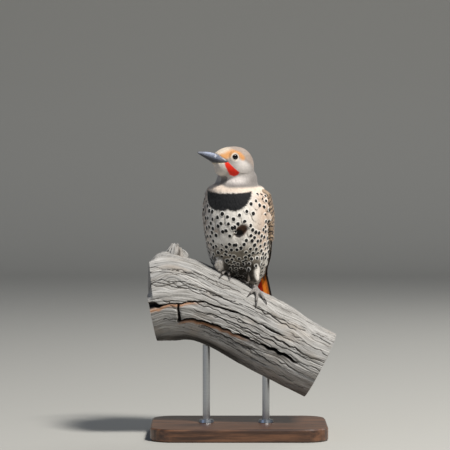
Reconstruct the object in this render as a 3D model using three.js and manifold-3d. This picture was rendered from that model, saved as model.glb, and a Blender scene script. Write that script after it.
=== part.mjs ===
// A red-shafted northern flicker, life size, on a cut length of weathered limb held by a display stand.
// Millimetres, +Z up. The origin is the centre of the base plate's underside.
// The bird faces -Y, turned a little towards -X, with its head turned further the same way.
import * as THREE from "three";
import { mergeVertices } from "three/addons/utils/BufferGeometryUtils.js";
import Module from "manifold-3d";

const wasm = await Module();
wasm.setup();

// ---------------------------------------------------------------- driving dimensions
const GAP = 0.35; // clearance between neighbouring solids
const BODY_YAW = 14; // degrees that the body is turned from -Y towards -X
const HEAD_YAW = 41; // degrees that the head is turned further than the body
const HEAD_PITCH = 17; // degrees that the bill points above the level
const HEAD_CENTRE = { side: -2, back: -14.5, up: 296.5 };
const NECK_CUT_UP = 272; // height of the cut between neck and trunk
const BILL = { gape: 14.5, tip: 48.8, up: -4.4 }; // where it starts and ends ahead of the head's centre
const EYE = { ahead: 9.4, side: 12, up: 2.2, radius: 4.4 };
const TAIL = { side: 0.5, up: 182, back: 36, steep: 76, swing: 7.5, length: 111, thick: 2.6, feathers: 10 };
const WING_THICK = 2.3;
const WING_LIFT = 1; // clearance of a wing from the side that it lies on
const WING_HOLD = { left: 0, right: 15 }; // degrees that each folded wing is carried back round the side
const TOE_RADIUS = 1.75;
const CLAW_RADIUS = 1.05;
const BASE = { long: 190, wide: 136, thick: 14, corner: 24, bevel: 1.5 };
const ROD_RADIUS = 4;
const ROD_PLACES = [-38, 34]; // how far each rod stands along the limb, from the middle

const COLOURS = {
  grey_head: 0xa39c93, buff_breast: 0xd9c9b2, brown_wing: 0x7c6a58, red_tail: 0xd8532a,
  horn_bill: 0x4b4c52, dark_eye: 0x14100e, leg_grey: 0x84807b, claw_dark: 0x35312e,
  weathered_wood: 0xa09a93, stand_wood: 0x4f3626, stand_steel: 0x9a9da1,
};

// ---------------------------------------------------------------- general helpers
const { degToRad, lerp, clamp } = THREE.MathUtils;
const V = (x, y, z) => new THREE.Vector3(x, y, z);

// Rows of named sizes, read at any value of their first column by a smooth curve.
function table(columns, rows) {
  const sorted = [...rows].sort((a, b) => a[0] - b[0]);
  const names = columns.slice(1);
  const curve = new THREE.CubicInterpolant(
    sorted.map((row) => row[0]),
    sorted.flatMap((row) => row.slice(1)),
    names.length,
  );
  return (place) => {
    const found = curve.evaluate(place);
    return Object.fromEntries(names.map((name, i) => [name, found[i]]));
  };
}

// Moves every vertex of a three.js geometry and closes its seams.
function warp(geometry, place) {
  const bare = geometry.clone();
  bare.deleteAttribute("normal");
  bare.deleteAttribute("uv");
  const position = bare.getAttribute("position");
  for (let i = 0; i < position.count; i++) {
    const p = place(V(position.getX(i), position.getY(i), position.getZ(i)));
    position.setXYZ(i, p.x, p.y, p.z);
  }
  return mergeVertices(bare, 1e-4);
}

// A closed tube through rings of {centre, right, up, down}: half axes as vectors, down defaulting to -up.
function loft(rings, sides) {
  const steps = rings.length - 1;
  return warp(new THREE.CylinderGeometry(1, 1, 1, sides, steps), ({ x, y, z }) => {
    const { centre, right, up, down } = rings[Math.round((0.5 - y) * steps)];
    const point = centre.clone().addScaledVector(right, x);
    return z < 0 && down ? point.addScaledVector(down, -z) : point.addScaledVector(up, z);
  });
}

// A round tube along points, with a radius for each.
function tube(points, radii, sides) {
  const rings = points.map((centre, i) => {
    const [before, after] = [points[Math.max(i - 1, 0)], points[Math.min(i + 1, points.length - 1)]];
    const along = after.clone().sub(before).normalize();
    const right = V(1, 0.13, 0.07).cross(along).normalize();
    const up = along.clone().cross(right);
    return { centre, right: right.multiplyScalar(radii[i]), up: up.multiplyScalar(radii[i]) };
  });
  return loft(rings, sides);
}

const steps = (count) => Array.from({ length: count + 1 }, (_, i) => i / count);

// A three.js geometry as a manifold-3d solid with its faces pointing out.
function solid(geometry) {
  const make = (triVerts) =>
    new wasm.Manifold(
      new wasm.Mesh({ numProp: 3, vertProperties: geometry.getAttribute("position").array, triVerts }),
    );
  const faces = new Uint32Array(geometry.index.array);
  const made = make(faces);
  if (made.volume() > 0) return made;
  for (let i = 0; i < faces.length; i += 3) [faces[i], faces[i + 1]] = [faces[i + 1], faces[i]];
  return make(faces);
}

// The same solid, larger by about that much on every side.
function grown(made, by) {
  const { min, max } = made.boundingBox();
  const middle = min.map((low, i) => (low + max[i]) / 2);
  const factor = min.map((low, i) => 1 + (2 * by) / (max[i] - low));
  return made.translate(middle.map((m) => -m)).scale(factor).translate(middle);
}

// A solid with room cut in it for another one.
function withRoom(made, other, by = GAP) {
  return made.subtract(other).subtract(grown(other, by));
}

function largest(made) {
  return made.decompose().sort((a, b) => b.volume() - a.volume())[0];
}

function named(name, made, colour, roughness, metalness = 0) {
  const mesh = made.getMesh();
  const geometry = new THREE.BufferGeometry()
    .setAttribute("position", new THREE.BufferAttribute(new Float32Array(mesh.vertProperties), 3))
    .setIndex(new THREE.BufferAttribute(new Uint32Array(mesh.triVerts), 1));
  geometry.computeVertexNormals();
  const finish = new THREE.MeshStandardMaterial({ color: COLOURS[colour], roughness, metalness });
  const made3d = new THREE.Mesh(geometry, finish);
  made3d.name = name;
  return made3d;
}

const block = (size, at) =>
  solid(warp(new THREE.BoxGeometry(size.x, size.y, size.z), (p) => p.add(at)));

// ---------------------------------------------------------------- the limb
const LIMB_LINE = new THREE.CatmullRomCurve3([
  V(-97, 2, 149.5), V(-58, 1, 148), V(-20, 0, 134), V(18, 0, 114.8), V(56, 0, 93.3), V(88, 1, 76.5),
]);
const LIMB_LENGTH = LIMB_LINE.getLength();
const limbSizes = table(["share", "radius"], [
  [0, 47], [0.2, 45], [0.3, 40.8], [0.42, 39.7], [0.6, 40.3], [0.8, 40], [1, 39.5],
]);
const LIMB_MIDDLE = 0.5;
const STUB = { share: 0.11, around: 0.1, tall: 13, wide: 12.5 }; // the stump of a broken twig

// The limb's own axes at a share of its length: along it, up from its line, and towards -Y.
function limbFrame(share) {
  const along = LIMB_LINE.getTangentAt(clamp(share, 0, 1));
  const front = V(0, -1, 0);
  const up = front.clone().cross(along).normalize();
  return { centre: LIMB_LINE.getPointAt(clamp(share, 0, 1)), along, up: up.z < 0 ? up.negate() : up, front };
}

// Distance of the bark-less surface from the limb's line, at an angle from its top towards -Y.
function limbRadius(share, around) {
  const lump = 0.028 * Math.sin(2 * around + 5 * share) + 0.018 * Math.sin(3 * around - 9 * share + 1);
  return limbSizes(share).radius * (1 + lump * clamp(Math.abs(share - LIMB_MIDDLE) * 4 - 0.3, 0.12, 1));
}

function onLimb(share, around, above) {
  const { centre, up, front } = limbFrame(share);
  const out = up.clone().multiplyScalar(Math.cos(around)).addScaledVector(front, Math.sin(around));
  return { point: centre.clone().addScaledVector(out, limbRadius(share, around) + above), out };
}

function limbSolid() {
  const count = 15;
  const sides = 22;
  const body = warp(new THREE.CylinderGeometry(1, 1, 1, sides, count), ({ x, y, z }) => {
    const share = 0.5 - y;
    if (Math.hypot(x, z) < 0.5) return limbFrame(share).centre;
    return onLimb(share, Math.atan2(x, z), 0).point;
  });
  const root = onLimb(STUB.share, STUB.around, -8).point;
  const { out } = onLimb(STUB.share, STUB.around, 0);
  const points = steps(3).map((t) => {
    const lean = V(3 * t * t, 0, 0);
    return root.clone().addScaledVector(out, t * (STUB.tall + 8)).add(lean);
  });
  const stub = tube(points, [1.1, 0.95, 0.78, 0.42].map((r) => r * STUB.wide), 9);
  return solid(body).add(solid(stub));
}

// ---------------------------------------------------------------- the body, as level sections
// front and back are distances ahead of the upright axis through the feet, side the half width, and
// lean how far the section is shifted to the bird's left.
const bodySizes = table(["up", "front", "back", "side", "lean"], [
  [146, -39.5, -43.5, 3.5, 0], [151, -36.5, -44, 7, 0], [158, -30.5, -44, 11, -0.5],
  [165, -22.5, -43.5, 16, -1.5], [172, -12.5, -42.5, 22.5, -2.6], [180, 3, -41.2, 27.9, -3],
  [190, 16.5, -40, 31.7, -2.5], [202, 26.5, -38.8, 33.2, -2.1], [216, 33.4, -37.2, 34.9, -1.9],
  [230, 37.2, -35, 36.1, -1.7], [243, 38, -32, 35.9, -1.5], [254, 36.3, -28.6, 34.1, -1.7],
  [264, 33, -24.8, 30, -2.6], [272, 29.3, -20, 23.5, -2.4], [280, 25.3, -15, 20.9, -1.4],
  [287, 21.5, -11, 18, 0], [294, 17, -7, 13, 0], [299, 13, -1, 8, 0],
]);

// A point on a level section: angle 0 is straight ahead, 90 degrees the bird's left.
function onSection({ front, back, side, lean }, angle, up, above = 0) {
  const middle = (front + back) / 2;
  const deep = (front - back) / 2;
  const out = V(Math.sin(angle) / side, -Math.cos(angle) / deep, 0).normalize();
  const point = V(lean + side * Math.sin(angle), -(middle + deep * Math.cos(angle)), up);
  return point.addScaledVector(out, above);
}

function bodySolid() {
  const [low, high, count] = [146, 299, 19];
  const sides = 24;
  return solid(warp(new THREE.CylinderGeometry(1, 1, 1, sides, count), ({ x, y, z }) => {
    const up = lerp(low, high, 0.5 + y);
    const size = bodySizes(up);
    if (Math.hypot(x, z) < 0.5) return V(size.lean, -(size.front + size.back) / 2, up);
    return onSection(size, Math.atan2(x, z), up);
  }));
}

// ---------------------------------------------------------------- the head, as sections along its own axis
// top and under are heights from the head's centre, side the half width.
const headSizes = table(["ahead", "top", "under", "side"], [
  [-23.4, -2, -7, 2], [-22.6, 2, -10, 6.2], [-20.5, 6.6, -13.4, 10.6], [-17, 11, -16, 14.2],
  [-12, 15, -18, 17], [-6, 17.2, -19.2, 18.2], [0, 17, -19.6, 18.2], [5, 15.9, -19.6, 17.2],
  [10, 13.9, -19.6, 15.4], [14, 11.9, -19.3, 13.6], [18, 9.2, -18, 11.6], [21.5, 6, -15.2, 9.2],
  [24.5, 2.6, -11.7, 6.8], [26.4, 0.2, -9.4, 4.8], [27.2, -1.8, -7.2, 2.6],
]);

function headSolid() {
  const rings = steps(15).map((t) => {
    const ahead = lerp(-23.4, 27.2, 0.5 - 0.5 * Math.cos(Math.PI * t));
    const { top, under, side } = headSizes(ahead);
    const middle = (top + under) / 2;
    return { centre: V(0, -ahead, middle), right: V(side, 0, 0), up: V(0, 0, (top - under) / 2) };
  });
  return solid(loft(rings, 20));
}

// One half of the bill. edge is the line where the halves meet, culmen and gonys the outer lines above and
// below it, all as heights from the bill's own line. It widens to the corners of the mouth at its root.
const billSizes = table(["share", "edge", "culmen", "gonys", "side"], [
  [0, -0.5, 0.7, -1.7, 12], [0.1, -0.3, 1.3, -2.4, 11.7], [0.2, 0.1, 2.8, -3.4, 9.7],
  [0.3, 0.5, 4.3, -4.1, 7.1], [0.36, 0.6, 4.8, -4.3, 5.3], [0.42, 0.7, 4.5, -4.1, 4.5],
  [0.6, 0.7, 3.6, -3.0, 3.3], [0.8, 0.4, 2.2, -1.8, 2.0], [0.93, 0.1, 0.95, -0.95, 1.1],
  [1, 0, 0.35, -0.6, 0.55],
]);

function billHalf(upper) {
  const reach = upper ? 1 : 0.97;
  const rings = steps(9).map((t) => {
    const { edge, culmen, gonys, side } = billSizes(t * reach);
    const lip = edge + (upper ? GAP / 2 : -GAP / 2);
    const tall = Math.max(0.3, upper ? culmen - lip : lip - gonys);
    return {
      centre: V(0, -lerp(BILL.gape, BILL.tip, t * reach), BILL.up + lip),
      right: V(side, 0, 0),
      up: V(0, 0, upper ? tall : -tall),
      down: V(0, 0, 0),
    };
  });
  return solid(loft(rings, 10));
}

// ---------------------------------------------------------------- wings and tail
// lead and trail are the angles round the body of a wing's two long edges.
const wingSizes = table(["up", "lead", "trail"], [
  [269.5, 90, 108], [266, 80, 124], [260, 73, 142], [250, 71, 156], [238, 76, 166], [226, 84, 169],
  [212, 88, 171], [198, 93, 172.5], [184, 101, 173], [170, 114, 172.5], [154, 132, 171.5],
  [140, 146, 170], [129, 157, 167],
]);
// The bed that the wing tips lie on, below the body and behind the tail.
const rumpSizes = table(["up", "front", "back", "side", "lean"], [
  [200, 25.4, -39, 33, -2.1], [182, 8, -41.6, 26.6, -2], [166, -16, -44.6, 22.5, -1.2],
  [150, -30, -48.8, 20, -0.4], [138, -36, -51.8, 18, 0], [129, -39, -54, 16.5, 0],
]);

function bedSizes(up) {
  const onBody = THREE.MathUtils.smoothstep(up, 178, 198);
  const [body, rump] = [bodySizes(up), rumpSizes(up)];
  return Object.fromEntries(Object.keys(rump).map((name) => [name, lerp(rump[name], body[name], onBody)]));
}

function wingSolid(hand) {
  const [low, high] = [129, 269.5];
  const hold = hand > 0 ? WING_HOLD.left : WING_HOLD.right;
  return solid(warp(new THREE.BoxGeometry(2, 2, 2, 6, 18, 1), ({ x, y, z }) => {
    const up = lerp(low, high, (1 + y) / 2);
    const { lead, trail } = wingSizes(up);
    const held = hold * clamp((up - 150) / 60, 0, 1);
    const angle = degToRad(lerp(lead + held, trail, (1 + x) / 2));
    const rim = Math.sqrt(1 - 0.72 * x * x) * Math.sqrt(1 - 0.6 * y * y);
    const above = WING_LIFT + (z > 0 ? 0.6 + (WING_THICK - 0.6) * rim : 0);
    return onSection(bedSizes(up), hand * angle, up, above);
  }));
}

const tailSizes = table(["share", "wide"], [
  [0, 13.5], [0.15, 16], [0.3, 19], [0.5, 22.5], [0.75, 25.5], [1, 27],
]);

function tailSolid() {
  const steep = degToRad(TAIL.steep);
  const swing = degToRad(TAIL.swing);
  const right = V(Math.cos(swing), 0, Math.sin(swing));
  const down = V(Math.sin(swing) * Math.sin(steep), Math.cos(steep), -Math.cos(swing) * Math.sin(steep));
  const out = down.clone().cross(right).negate();
  const across = TAIL.feathers * 2;
  return solid(warp(new THREE.BoxGeometry(2, 2, 2, across, 4, 1), ({ x, y, z }) => {
    const share = (1 - y) / 2;
    const place = Math.abs(x) * TAIL.feathers / 2;
    const tip = 1 - Math.abs((place % 1) - 0.5) * 2; // 1 on a feather's shaft, 0 between two feathers
    const reach = TAIL.length * (1 - 0.16 * Math.abs(x) ** 1.5) - 7 * (1 - tip);
    const { wide } = tailSizes(share);
    const sag = 3.4 * x * x * share;
    const thick = (TAIL.thick / 2) * (1 - 0.35 * share) * z;
    return V(TAIL.side, TAIL.back, TAIL.up)
      .addScaledVector(right, x * wide)
      .addScaledVector(down, share * reach)
      .addScaledVector(out, thick - sag);
  }));
}

// ---------------------------------------------------------------- legs
// stand is where the foot's joint sits on the limb: a share of its length, and an angle towards -Y.
// Each toe runs that far along the limb and round it, in millimetres, and ends in a claw.
const LEGS = {
  left: {
    stand: { share: 0.502, around: 19 },
    hip: V(13, -7, 199),
    cuff: V(17.4, -9.5, 167),
    heel: V(15, 2, 181),
    trouser: [11, 9.4, 6.4, 4.2],
    toes: [
      { along: -10.5, round: -5, claw: 7, arch: 2.6 }, { along: -3, round: 12.5, claw: 7, arch: 1.2 },
      { along: 6, round: 18.5, claw: 9, arch: 1.2 }, { along: 12, round: 10.5, claw: 8, arch: 1.4 },
    ],
  },
  right: {
    stand: { share: 0.335, around: -2 },
    hip: V(-18, -8, 207),
    cuff: V(-17, -3, 184.5),
    heel: V(-17, 12, 196),
    trouser: [12, 11, 8.6, 5],
    toes: [
      { along: 6, round: -9, claw: 7, arch: 1.6 }, { along: 4.6, round: 13, claw: 8, arch: 1.2 },
      { along: -2.6, round: 17.5, claw: 9, arch: 1.2 }, { along: -10, round: -13, claw: 8, arch: 1.4 },
    ],
  },
};

function footPlace(leg, along, round, above) {
  const { share, around } = leg.stand;
  const radius = limbSizes(share).radius;
  return onLimb(share + along / LIMB_LENGTH, degToRad(around) + round / radius, above).point;
}

function toePath(leg, toe, from, to, count, radius) {
  return steps(count).map((t) => {
    const share = lerp(from, to, t);
    const hump = toe.arch * Math.sin(Math.PI * clamp(share, 0, 1));
    return footPlace(leg, toe.along * share, toe.round * share, radius(share) + GAP + hump);
  });
}

const toeRadius = (share) => TOE_RADIUS * (1.12 - 0.3 * share);

function footSolid(leg) {
  const joint = footPlace(leg, 0, 0, TOE_RADIUS + GAP + 0.9);
  const pad = solid(warp(new THREE.SphereGeometry(2.7, 8, 6), (p) => p.add(joint)));
  return leg.toes.reduce((made, toe) => {
    const path = toePath(leg, toe, 0, 1, 4, toeRadius);
    return made.add(solid(tube(path, steps(4).map(toeRadius), 6)));
  }, pad);
}

// A claw leaves the toe's end, rises a little and hooks down to the wood.
function clawSolid(leg, toe) {
  const long = Math.hypot(toe.along, toe.round);
  const rings = steps(4);
  const points = rings.map((t) => {
    const reach = 1 + (0.25 + t * toe.claw * 0.86) / long;
    const above = GAP + CLAW_RADIUS * 0.35 + 0.9 + 1.5 * Math.sin(Math.PI * 0.5 * (t + 0.25)) - 2.2 * t * t;
    return footPlace(leg, toe.along * reach, toe.round * reach, Math.max(above, GAP + 0.35));
  });
  return solid(tube(points, rings.map((t) => CLAW_RADIUS * (1 - 0.74 * t)), 6));
}

function trouserSolid(leg) {
  const points = steps(3).map((t) => leg.hip.clone().lerp(leg.cuff, t));
  return solid(tube(points, leg.trouser, 12));
}

function shankSolid(leg) {
  const foot = footPlace(leg, 0, 0, TOE_RADIUS + GAP + 1.6);
  const points = steps(3).map((t) => leg.heel.clone().lerp(foot, t));
  return solid(tube(points, [2.5, 2.0, 1.9, 2.3], 8));
}

// ---------------------------------------------------------------- the stand
function baseSolid() {
  const { long, wide, thick, corner, bevel } = BASE;
  const [x, y] = [long / 2 - bevel, wide / 2 - bevel];
  const outline = new THREE.Shape()
    .moveTo(-x + corner, -y).lineTo(x - corner, -y).absarc(x - corner, -y + corner, corner, -Math.PI / 2, 0)
    .lineTo(x, y - corner).absarc(x - corner, y - corner, corner, 0, Math.PI / 2)
    .lineTo(-x + corner, y).absarc(-x + corner, y - corner, corner, Math.PI / 2, Math.PI)
    .lineTo(-x, -y + corner).absarc(-x + corner, -y + corner, corner, Math.PI, Math.PI * 1.5);
  const plate = new THREE.ExtrudeGeometry(outline, {
    depth: thick - 2 * bevel, bevelThickness: bevel, bevelSize: bevel, bevelSegments: 1, curveSegments: 4,
  });
  return solid(warp(plate, (p) => p.add(V(0, 0, bevel))));
}

function rodSolid(place, limb) {
  const share = LIMB_MIDDLE + place / LIMB_LENGTH;
  const { centre } = limbFrame(share);
  const low = BASE.thick + GAP;
  const tall = centre.z - low;
  const rod = warp(new THREE.CylinderGeometry(ROD_RADIUS, ROD_RADIUS, tall, 16), ({ x, y, z }) =>
    V(centre.x + x, centre.y - z, low + tall / 2 + y));
  const collar = warp(new THREE.CylinderGeometry(ROD_RADIUS * 1.9, ROD_RADIUS * 2.1, 3, 20), ({ x, y, z }) =>
    V(centre.x + x, centre.y - z, low + 1.5 + y));
  return largest(withRoom(solid(rod).add(solid(collar)), limb));
}

// ---------------------------------------------------------------- putting it together
const model = new THREE.Group();
const bird = new THREE.Group();
bird.rotation.z = degToRad(-BODY_YAW);
const head = new THREE.Group();
head.position.set(HEAD_CENTRE.side, HEAD_CENTRE.back, HEAD_CENTRE.up);
head.rotation.set(degToRad(-HEAD_PITCH), 0, degToRad(-HEAD_YAW), "ZXY");
bird.add(head);
model.add(bird);
model.updateMatrixWorld(true);

// Between a group's own axes and the model's.
const moved = (made, matrix) => made.transform([...matrix.elements]);
const birdToModel = bird.matrixWorld;
const modelToBird = birdToModel.clone().invert();
const headToBird = head.matrix;
const headFromBird = headToBird.clone().invert();

const eyeSolid = (hand) => {
  const centre = V(hand * EYE.side, -EYE.ahead, EYE.up);
  return solid(warp(new THREE.SphereGeometry(EYE.radius, 12, 8), (p) => p.add(centre)));
};
const eyes = { left: eyeSolid(1), right: eyeSolid(-1) };
const bill = { upper: billHalf(true), lower: billHalf(false) };

const skull = headSolid();
const headMade = [...Object.values(eyes), ...Object.values(bill)]
  .reduce((made, part) => withRoom(made, part), skull);

const wholeBody = bodySolid();
const reach = V(200, 200, 200);
const neckBody = wholeBody.intersect(block(reach, V(0, 0, NECK_CUT_UP + reach.z / 2)));
const neckMade = largest(withRoom(neckBody, moved(skull, headToBird)));
const underNeck = wholeBody.intersect(block(reach, V(0, 0, NECK_CUT_UP - GAP - reach.z / 2)));
const feet = Object.values(LEGS)
  .flatMap((leg) => [footSolid(leg), ...leg.toes.map((toe) => clawSolid(leg, toe))])
  .map((made) => moved(made, modelToBird));
const trunkMade = largest(feet.reduce((made, foot) => withRoom(made, foot, 2 * GAP), underNeck));

// The bird's nodes, in its own axes.
bird.add(named("trunk", trunkMade, "buff_breast", 0.85));
bird.add(named("neck", neckMade, "grey_head", 0.85));
const wings = {
  left: largest(withRoom(wingSolid(1), trunkMade)),
  right: largest(withRoom(wingSolid(-1), trunkMade)),
};
for (const [side, made] of Object.entries(wings)) bird.add(named(`wing_${side}`, made, "brown_wing", 0.8));
// The folded wing tips lie behind the tail.
const tailMade = Object.values(wings).reduce(
  (made, wing) => made.subtract(wing).subtract(wing.translate([0, -GAP, 0])),
  tailSolid(),
);
bird.add(named("tail", largest(withRoom(tailMade, trunkMade)), "red_tail", 0.7));

// The head's nodes, in the head's axes.
head.add(named("head", largest(headMade), "grey_head", 0.85));
for (const [side, made] of Object.entries(eyes)) head.add(named(`eye_${side}`, made, "dark_eye", 0.08));
for (const [half, made] of Object.entries(bill)) head.add(named(`bill_${half}`, made, "horn_bill", 0.45));

// The legs stand on the limb, so they are made in the model's axes.
const trunkInModel = moved(trunkMade, birdToModel);
for (const [side, leg] of Object.entries(LEGS)) {
  const trouser = trouserSolid(leg);
  const foot = footSolid(leg);
  const claws = leg.toes.map((toe) => clawSolid(leg, toe));
  const shank = [trouser, foot, trunkInModel].reduce((made, part) => withRoom(made, part), shankSolid(leg));
  model.add(named(`thigh_${side}`, largest(withRoom(trouser, trunkInModel)), "buff_breast", 0.85));
  model.add(named(`shank_${side}`, largest(shank), "leg_grey", 0.6));
  const toes = claws.reduce((made, claw) => withRoom(made, claw), foot);
  model.add(named(`foot_${side}`, toes, "leg_grey", 0.6));
  claws.forEach((claw, i) => model.add(named(`claw_${side}_${i + 1}`, claw, "claw_dark", 0.35)));
}

// The limb and the stand.
const limb = limbSolid();
model.add(named("perch", limb, "weathered_wood", 0.9));
model.add(named("stand_base", baseSolid(), "stand_wood", 0.5));
ROD_PLACES.forEach((place, i) =>
  model.add(named(`stand_rod_${i + 1}`, rodSolid(place, limb), "stand_steel", 0.35, 1)));

export default model;
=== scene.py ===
"""A male red-shafted northern flicker on a cut length of weathered limb, life size, on a display stand.

The bird's flesh is one skin. Every feather over it is a closed vane of solid mesh: short ones in a coat
that follows the lie of the plumage, long ones laid one by one on the wings and the tail.
Sizes are in millimetres up to the point where a mesh is made, and metres in the meshes.
"""

import math
from functools import partial

import bmesh
import bpy
import numpy as np
from mathutils import Matrix, Vector
from mathutils.bvhtree import BVHTree
from mathutils.kdtree import KDTree


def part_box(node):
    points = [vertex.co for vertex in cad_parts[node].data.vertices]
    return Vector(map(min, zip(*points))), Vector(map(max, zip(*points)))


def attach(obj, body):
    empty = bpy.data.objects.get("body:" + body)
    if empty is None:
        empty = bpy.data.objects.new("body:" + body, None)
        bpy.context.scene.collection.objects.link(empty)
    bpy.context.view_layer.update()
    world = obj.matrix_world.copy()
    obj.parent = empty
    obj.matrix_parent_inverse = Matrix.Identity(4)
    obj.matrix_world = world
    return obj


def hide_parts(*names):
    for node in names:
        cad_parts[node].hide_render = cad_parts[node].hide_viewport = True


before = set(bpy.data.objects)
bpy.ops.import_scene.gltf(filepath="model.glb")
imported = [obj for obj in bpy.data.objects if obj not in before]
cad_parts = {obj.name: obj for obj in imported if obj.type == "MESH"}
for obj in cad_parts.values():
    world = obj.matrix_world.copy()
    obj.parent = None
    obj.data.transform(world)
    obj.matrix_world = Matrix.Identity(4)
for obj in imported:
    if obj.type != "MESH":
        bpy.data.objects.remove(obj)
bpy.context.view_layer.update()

# ------------------------------------------------------------------ driving sizes, in mm and degrees
MM = 0.001
BODY_TURN = 14  # the body faces -Y, turned this much towards -X
HEAD_TURN = 55  # the head is turned this much from -Y towards -X
HEAD_RISE = 17  # the bill points this much above the level
EYES_AHEAD = 9.4  # the eyes lie this far ahead of the head's centre
EYES_UP = 2.2  # and this far above it
EYE_RADIUS = 4.4  # of the ball
EYE_OPENING = 3.1  # radius of the opening between the lids
EYE_TILT = 14  # the eyes look this much ahead of straight out to the side
BILL = {"gape": 14.5, "face": 26.6, "tip": 48.8, "up": -4.4}  # ahead of the head's centre, and height
SKIN_GRAIN = 0.9  # size of the skin's facets
SWELL = 0.45  # how far the flesh is swollen to close the gaps between its parts
BAKE_PATCH = 0.003  # side of each small feather's patch on the OFBake map
BAR_STEP = 4.4  # the bars across a feather lie this far apart
NOTCH_STEP = 8.5  # and the pale notches in the edges of the dark flight feathers
# Swells of the flesh, and a hollow under the chin: the side that they face, +1 for +X, then height, reach
# and size in mm.
SWELLS = [
    (-1, 290.5, 4.5, -2.0),
    (-1, 280, 3, 0.6),
    (-1, 266.5, 5, 3.0),
    (1, 280, 7, 2.0),
    (1, 259.5, 5, 1.4),
]
# Places on the body are given by the angle round it from straight ahead, positive on the bird's left, and
# by height. The belly's axis leans back: height, and how far ahead the axis lies there.
BELLY_AXIS = ([146, 158, 172, 190, 202, 216], [-39.7, -34.5, -24.3, -11.5, -6.1, 0])
FRONT_HALF = 97  # the spotted front reaches this far round, and the barred back begins
NECK_LOW = 267  # heights where one tract of the coat gives way to the next
COVERTS_LOW = 220
VENT_TOP = 168
FRONT_LOW = 158
BIB_MIDDLE = -7  # the black breast patch, a little to the bird's right
BIB_LOW, BIB_TOP = 243.6, 262.8
# The ruffled hollow in the breast: its middle, its half sizes, and how much it rises per degree.
HOLLOW = {"around": 17, "high": 222.5, "wide": 11.5, "tall": 6, "slant": 0.22}
# The white tufts over the tops of the legs: angle, height, half width and half height.
TROUSERS = [(-30, 185, 8.5, 7.5), (47, 172, 14, 12)]

FLESH = ["head", "neck", "trunk", "wing_left", "wing_right"]
FLESH += [f"{part}_{side}" for part in ("thigh", "shank", "foot") for side in ("left", "right")]

dice = np.random.default_rng(11)


# ------------------------------------------------------------------ small helpers
def blend(low, high, value):
    """0 where value is at low, 1 where it is at high, and smooth between."""
    t = np.clip((value - low) / (high - low), 0, 1)
    return t * t * (3 - 2 * t)


def bell(value, middle, reach):
    """1 at the middle, falling off on both sides."""
    return np.exp(-(((value - middle) / reach) ** 2))


def unit(rows):
    """Each row as a vector of length 1."""
    return rows / np.maximum(np.linalg.norm(rows, axis=-1, keepdims=True), 1e-9)


def linear(code):
    """An sRGB hex colour as linear numbers."""
    parts = [int(code[i : i + 2], 16) / 255 for i in (1, 3, 5)]
    return np.array([c / 12.92 if c <= 0.04045 else ((c + 0.055) / 1.055) ** 2.4 for c in parts])


def rgba(code):
    return (*linear(code), 1.0)


class Axes:
    """Left, ahead and up of the body or the head, in millimetres from a centre."""

    def __init__(self, centre, turn, rise=0.0):
        spin = Matrix.Rotation(math.radians(-turn), 3, "Z") @ Matrix.Rotation(math.radians(-rise), 3, "X")
        self.centre = np.array(centre)
        self.left, back, self.up = (np.array(column) for column in spin.transposed())
        self.ahead = -back

    def local(self, points):
        offset = (np.asarray(points) - self.centre) / MM
        return offset @ self.left, offset @ self.ahead, offset @ self.up

    def world(self, left, ahead, up):
        sizes = ((left, self.left), (ahead, self.ahead), (up, self.up))
        return self.centre + sum(np.multiply.outer(size, axis) for size, axis in sizes) * MM


def middle_of(name):
    low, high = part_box(name)
    return np.array((low + high) / 2)


BODY = Axes((0, 0, 0), BODY_TURN)
HEAD = Axes((0, 0, 0), HEAD_TURN, HEAD_RISE)
EYES_MIDDLE = (middle_of("eye_left") + middle_of("eye_right")) / 2
HEAD.centre = EYES_MIDDLE - (EYES_AHEAD * HEAD.ahead + EYES_UP * HEAD.up) * MM
BILL_BASE = HEAD.world(0, BILL["face"] + 3, BILL["up"])
EYE_SIDE = np.linalg.norm(middle_of("eye_left") - EYES_MIDDLE) / MM  # half the distance between the eyes
EYE_RIM = math.sqrt(EYE_RADIUS**2 - EYE_OPENING**2)  # the lids lie this far out from the middle of the ball


def eye_place(hand, front, up, out):
    """A place given in one eye's own axes, in mm from the middle of its ball. hand is 1 for the left eye."""
    turn = math.radians(EYE_TILT)
    side = hand * (EYE_SIDE + out * math.cos(turn) - front * math.sin(turn))
    return HEAD.world(side, EYES_AHEAD + front * math.cos(turn) + out * math.sin(turn), EYES_UP + up)


def from_eyes(points):
    """How far each point is from the nearer eye's own axis, and how far out along it, in mm."""
    turn = math.radians(EYE_TILT)
    side, ahead, up = HEAD.local(points)
    out, front = np.abs(side) - EYE_SIDE, ahead - EYES_AHEAD
    across = front * math.cos(turn) - out * math.sin(turn)
    off_axis = np.hypot(across, up - EYES_UP) + 99 * (np.abs(side) < 6)
    return off_axis, out * math.cos(turn) + front * math.sin(turn)


# ------------------------------------------------------------------ meshes
def new_piece(name, mesh, material, slot, *stands_for):
    """Puts a finished mesh in the scene, riding on the still model's one body."""
    made = bpy.data.objects.new(name, mesh)
    bpy.context.scene.collection.objects.link(made)
    mesh.materials.append(material)
    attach(made, "root")
    if stands_for:
        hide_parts(*stands_for)
    return made


def mesh_from(bm, name, sharp=None):
    """A smooth-shaded mesh. Edges that fold by more than sharp degrees are kept crisp."""
    mesh = bpy.data.meshes.new(name)
    bm.to_mesh(mesh)
    bm.free()
    mesh.polygons.foreach_set("use_smooth", np.ones(len(mesh.polygons), bool))
    if sharp:
        mesh.set_sharp_from_angle(angle=math.radians(sharp))
    return mesh


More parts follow.
